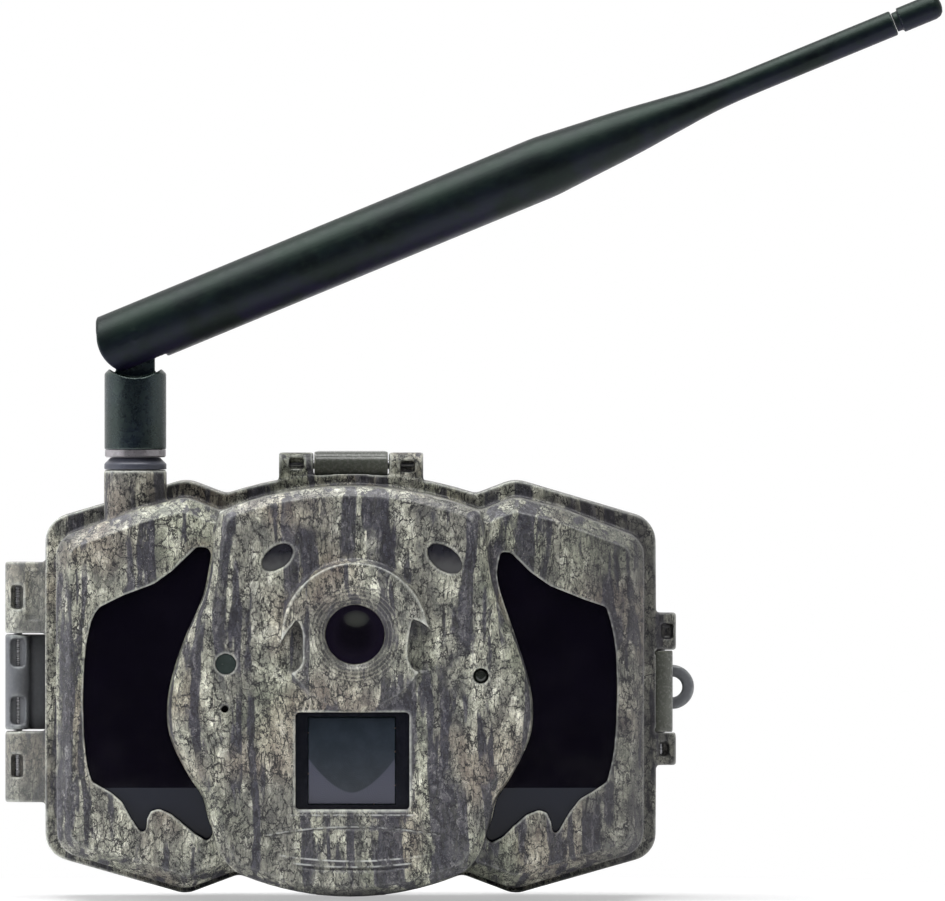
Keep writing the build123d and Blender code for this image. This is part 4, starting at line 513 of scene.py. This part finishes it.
# ------------------------------------------------------------- mesh-code shells
def store_bend(me):
    """How convex the surface is at each point, averaged a little over its neighbours."""
    nv, ne = len(me.vertices), len(me.edges)
    co, no, ed = np.empty(nv * 3, "f"), np.empty(nv * 3, "f"), np.empty(ne * 2, "i")
    me.vertices.foreach_get("co", co)
    me.vertices.foreach_get("normal", no)
    me.edges.foreach_get("vertices", ed)
    co, no = co.reshape(-1, 3).astype("d"), no.reshape(-1, 3).astype("d")
    a, b = ed.reshape(-1, 2).T
    d = co[a] - co[b]
    ln = np.sqrt((d * d).sum(1))
    up = np.bincount(a, (d * no[a]).sum(1), nv) - np.bincount(b, (d * no[b]).sum(1), nv)
    tot = np.bincount(a, ln, nv) + np.bincount(b, ln, nv)
    k = np.arccos(np.clip(-up / np.maximum(tot, 1e-9), -1, 1)) / math.pi
    cnt = np.bincount(a, minlength=nv) + np.bincount(b, minlength=nv) + 1.0
    for _ in range(2):
        k = (k + np.bincount(a, k[b], nv) + np.bincount(b, k[a], nv)) / cnt
    at = me.attributes.new("bend", "FLOAT", "POINT")
    at.data.foreach_set("value", k.astype("f"))


def remeshed(nodes, body, voxel, smooth, mat, name=None, factor=0.5):
    """Soft moulded version of one or more CAD nodes: fine remesh, then relaxed so edges round off."""
    nodes = (nodes,) if isinstance(nodes, str) else nodes
    bm = bmesh.new()
    for nd in nodes:
        src = NODES[nd].data.copy()
        if nd == "elbow_pin":
            # moulded over: the pin ends flush with the rubber
            lo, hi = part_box(nd)
            mid = (lo.y + hi.y) / 2
            for v in src.vertices:
                v.co.y = mid + (v.co.y - mid) * 1.12
        bm.from_mesh(src)
        D.meshes.remove(src)
    bmesh.ops.remove_doubles(bm, verts=bm.verts, dist=1e-6)
    me = D.meshes.new(name or nodes[0] + "_moulded")
    bm.to_mesh(me)
    bm.free()
    o = D.objects.new(name or nodes[0] + "_moulded", me)
    bpy.context.scene.collection.objects.link(o)
    m = o.modifiers.new("remesh", "REMESH")
    m.mode = "VOXEL"
    m.voxel_size = voxel
    m.adaptivity = 0.0
    s = o.modifiers.new("relax", "SMOOTH")
    s.factor = factor
    s.iterations = smooth
    dg = bpy.context.evaluated_depsgraph_get()
    new = D.meshes.new_from_object(o.evaluated_get(dg))
    o.modifiers.clear()
    o.data = new
    store_bend(new)
    for pl in new.polygons:
        pl.use_smooth = True
    new.materials.clear()
    new.materials.append(mat)
    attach(o, body)
    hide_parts(*nodes)
    return o


front = remeshed("front_shell", "front_half", 0.00038, 4, M["camo_front"])
rear = remeshed("rear_shell", "rear_half", 0.0005, 3, M["camo_rear"])

FLAT = ("ir_window_left", "ir_window_right", "display", "lens_window", "oval_windows", "pir_bezel")
k = 1.0
remeshed(("antenna_elbow", "antenna_whip", "elbow_pin"), "antenna_arm", 0.00032 * k, 4, M["whip"], "antenna_rubber")
remeshed("antenna_tip", "antenna_arm", 0.00020 * k, 3, M["whip"])
remeshed("antenna_sleeve", "antenna_swivel", 0.00022 * k, 3, M["sleeve"])
remeshed("antenna_base_ring", "front_half", 0.00018 * k, 2, M["ringblack"])
remeshed("top_latch", "top_latch_lever", 0.00022 * k, 3, M["olive"])
remeshed("side_latch", "side_latch_lever", 0.00022 * k, 3, M["olive"])
remeshed("battery_frame", "rear_half", 0.00045 * k, 3, M["knuckle"])

# smooth shading with crisp creases on the carried CAD nodes
for nm, o in NODES.items():
    if o.hide_render:
        continue
    if nm in FLAT:
        continue
    for pl in o.data.polygons:
        pl.use_smooth = True
    es = o.modifiers.new("crease", "EDGE_SPLIT")
    es.split_angle = math.radians(28)

# ------------------------------------------------------------------ stage
def stage_mesh(name, verts, faces, mat):
    me = D.meshes.new(name)
    me.from_pydata(verts, [], faces)
    o = D.objects.new(name, me)
    bpy.context.scene.collection.objects.link(o)
    me.materials.append(mat)
    return o


nf = Net("floor_paper")
tex = nf.noise(nf.co, 0.4, 3.0, 0.6)
fx, fy, fz = nf.sep(nf.co)[:]
nf.set(base=nf.mix(nf.smooth(tex, 0.3, 0.7), lin(236, 236, 237), lin(242, 242, 243)), rough=0.75, spec=0.2)
# the paper fades to plain white away from the object, and its far front end is painted dark in reflections as painted
# shade, as if out of the light
lpn = nf.node("ShaderNodeLightPath")
em = nf.node("ShaderNodeEmission")
em.inputs[0].default_value = (1, 1, 1, 1)
blk = nf.node("ShaderNodeEmission")
blk.inputs[0].default_value = (0.02, 0.02, 0.025, 1)
rad = nf.math("SQRT", nf.math("ADD", nf.math("MULTIPLY", fx, fx), nf.math("MULTIPLY", fy, fy)))
fade = nf.math("MULTIPLY", nf.smooth(rad, 60, 190, 0.45, 1.0), lpn.outputs["Is Camera Ray"])
m1 = nf.node("ShaderNodeMixShader")
nf.put(m1.inputs[0], fade)
nf.t.links.new(nf.bsdf.outputs[0], m1.inputs[1])
nf.t.links.new(em.outputs[0], m1.inputs[2])
front_dark = nf.math("MULTIPLY", nf.smooth(fy, -280, -520), lpn.outputs["Is Glossy Ray"])
m2 = nf.node("ShaderNodeMixShader")
nf.put(m2.inputs[0], front_dark)
nf.t.links.new(m1.outputs[0], m2.inputs[1])
nf.t.links.new(blk.outputs[0], m2.inputs[2])
nf.t.links.new(m2.outputs[0], nf.out.inputs[0])
stage_mesh("floor", [(-3, -3, -0.0004), (3, -3, -0.0004), (3, 3, -0.0004), (-3, 3, -0.0004)], [(0, 1, 2, 3)], nf.m)

# world: soft white all round, dark towards the camera side
w = D.worlds.new("studio")
bpy.context.scene.world = w
w.use_nodes = True
t = w.node_tree
for nn in list(t.nodes):
    t.nodes.remove(nn)
out = t.nodes.new("ShaderNodeOutputWorld")
bg = t.nodes.new("ShaderNodeBackground")
bgc = t.nodes.new("ShaderNodeBackground")
mixs = t.nodes.new("ShaderNodeMixShader")
lp = t.nodes.new("ShaderNodeLightPath")
tc = t.nodes.new("ShaderNodeTexCoord")
dot = t.nodes.new("ShaderNodeVectorMath")
dot.operation = "DOT_PRODUCT"
dot.inputs[1].default_value = (0, -1, 0)
t.links.new(tc.outputs["Generated"], dot.inputs[0])
rmp = t.nodes.new("ShaderNodeValToRGB")
rmp.color_ramp.elements[0].position = 0.30
rmp.color_ramp.elements[0].color = (1.0, 1.0, 1.0, 1)
rmp.color_ramp.elements[1].position = 0.80
rmp.color_ramp.elements[1].color = (0.012, 0.012, 0.02, 1)
t.links.new(dot.outputs["Value"], rmp.inputs[0])
side = t.nodes.new("ShaderNodeSeparateXYZ")
t.links.new(tc.outputs["Generated"], side.inputs[0])
dim = t.nodes.new("ShaderNodeMapRange")
dim.inputs["From Min"].default_value = -0.8
dim.inputs["From Max"].default_value = 0.8
dim.inputs["To Min"].default_value = 1.12
dim.inputs["To Max"].default_value = 0.62
t.links.new(side.outputs[0], dim.inputs["Value"])
mul = t.nodes.new("ShaderNodeVectorMath")
mul.operation = "SCALE"
t.links.new(rmp.outputs[0], mul.inputs[0])
t.links.new(dim.outputs[0], mul.inputs["Scale"])
t.links.new(mul.outputs[0], bg.inputs[0])
gl = t.nodes.new("ShaderNodeMapRange")
gl.inputs["To Min"].default_value = 0.46
gl.inputs["To Max"].default_value = 1.0
t.links.new(lp.outputs["Is Glossy Ray"], gl.inputs["Value"])
t.links.new(gl.outputs[0], bg.inputs[1])
bgc.inputs[0].default_value = (1, 1, 1, 1)
bgc.inputs[1].default_value = 1.0
t.links.new(lp.outputs["Is Camera Ray"], mixs.inputs[0])
t.links.new(bg.outputs[0], mixs.inputs[1])
t.links.new(bgc.outputs[0], mixs.inputs[2])
t.links.new(mixs.outputs[0], out.inputs[0])


def area(name, loc, target, size, power, color=(1, 1, 1)):
    li = D.lights.new(name, "AREA")
    li.shape = "RECTANGLE"
    li.size, li.size_y = size
    li.energy = power
    li.color = color
    o = D.objects.new(name, li)
    bpy.context.scene.collection.objects.link(o)
    o.location = loc
    o.rotation_euler = (Vector(target) - Vector(loc)).to_track_quat("-Z", "Y").to_euler()
    return o


area("top_soft", (-0.12, -0.22, 1.20), (0, -0.04, 0.06), (1.3, 0.8), 21.0)
for lamp in (
    area("side_left", (-1.05, -0.42, 0.40), (0, -0.03, 0.06), (0.35, 0.6), 6.6, (0.985, 0.99, 1.0)),
    area("side_right", (1.05, -0.45, 0.30), (0, -0.03, 0.06), (0.35, 0.6), 1.0, (1.0, 0.98, 0.95)),
):
    lamp.visible_glossy = False

# camera: straight on, a touch above, framed so that 4.56 units of the 945 x 901 frame are 1 mm
cam = D.cameras.new("camera")
co = D.objects.new("camera", cam)
bpy.context.scene.collection.objects.link(co)
bpy.context.scene.camera = co
AIM = Vector(((472.5 - 350) / 4.56 / 1000, -0.046, (900 - 450.5) / 4.56 / 1000))
DIST, ELEV = 6.0, math.radians(0.5)
co.location = AIM + Vector((0, -math.cos(ELEV), math.sin(ELEV))) * DIST
co.rotation_euler = (AIM - co.location).to_track_quat("-Z", "Y").to_euler()
cam.sensor_width = 36.0
cam.sensor_fit = "HORIZONTAL"
cam.lens = 36.0 * DIST / (945 / 4.56 / 1000)
cam.clip_start, cam.clip_end = 0.5, 40

sc = bpy.context.scene
sc.view_settings.view_transform = "Standard"
sc.view_settings.look = "None"
sc.view_settings.exposure = 0.0
sc.view_settings.gamma = 1.0

bpy.context.view_layer.update()
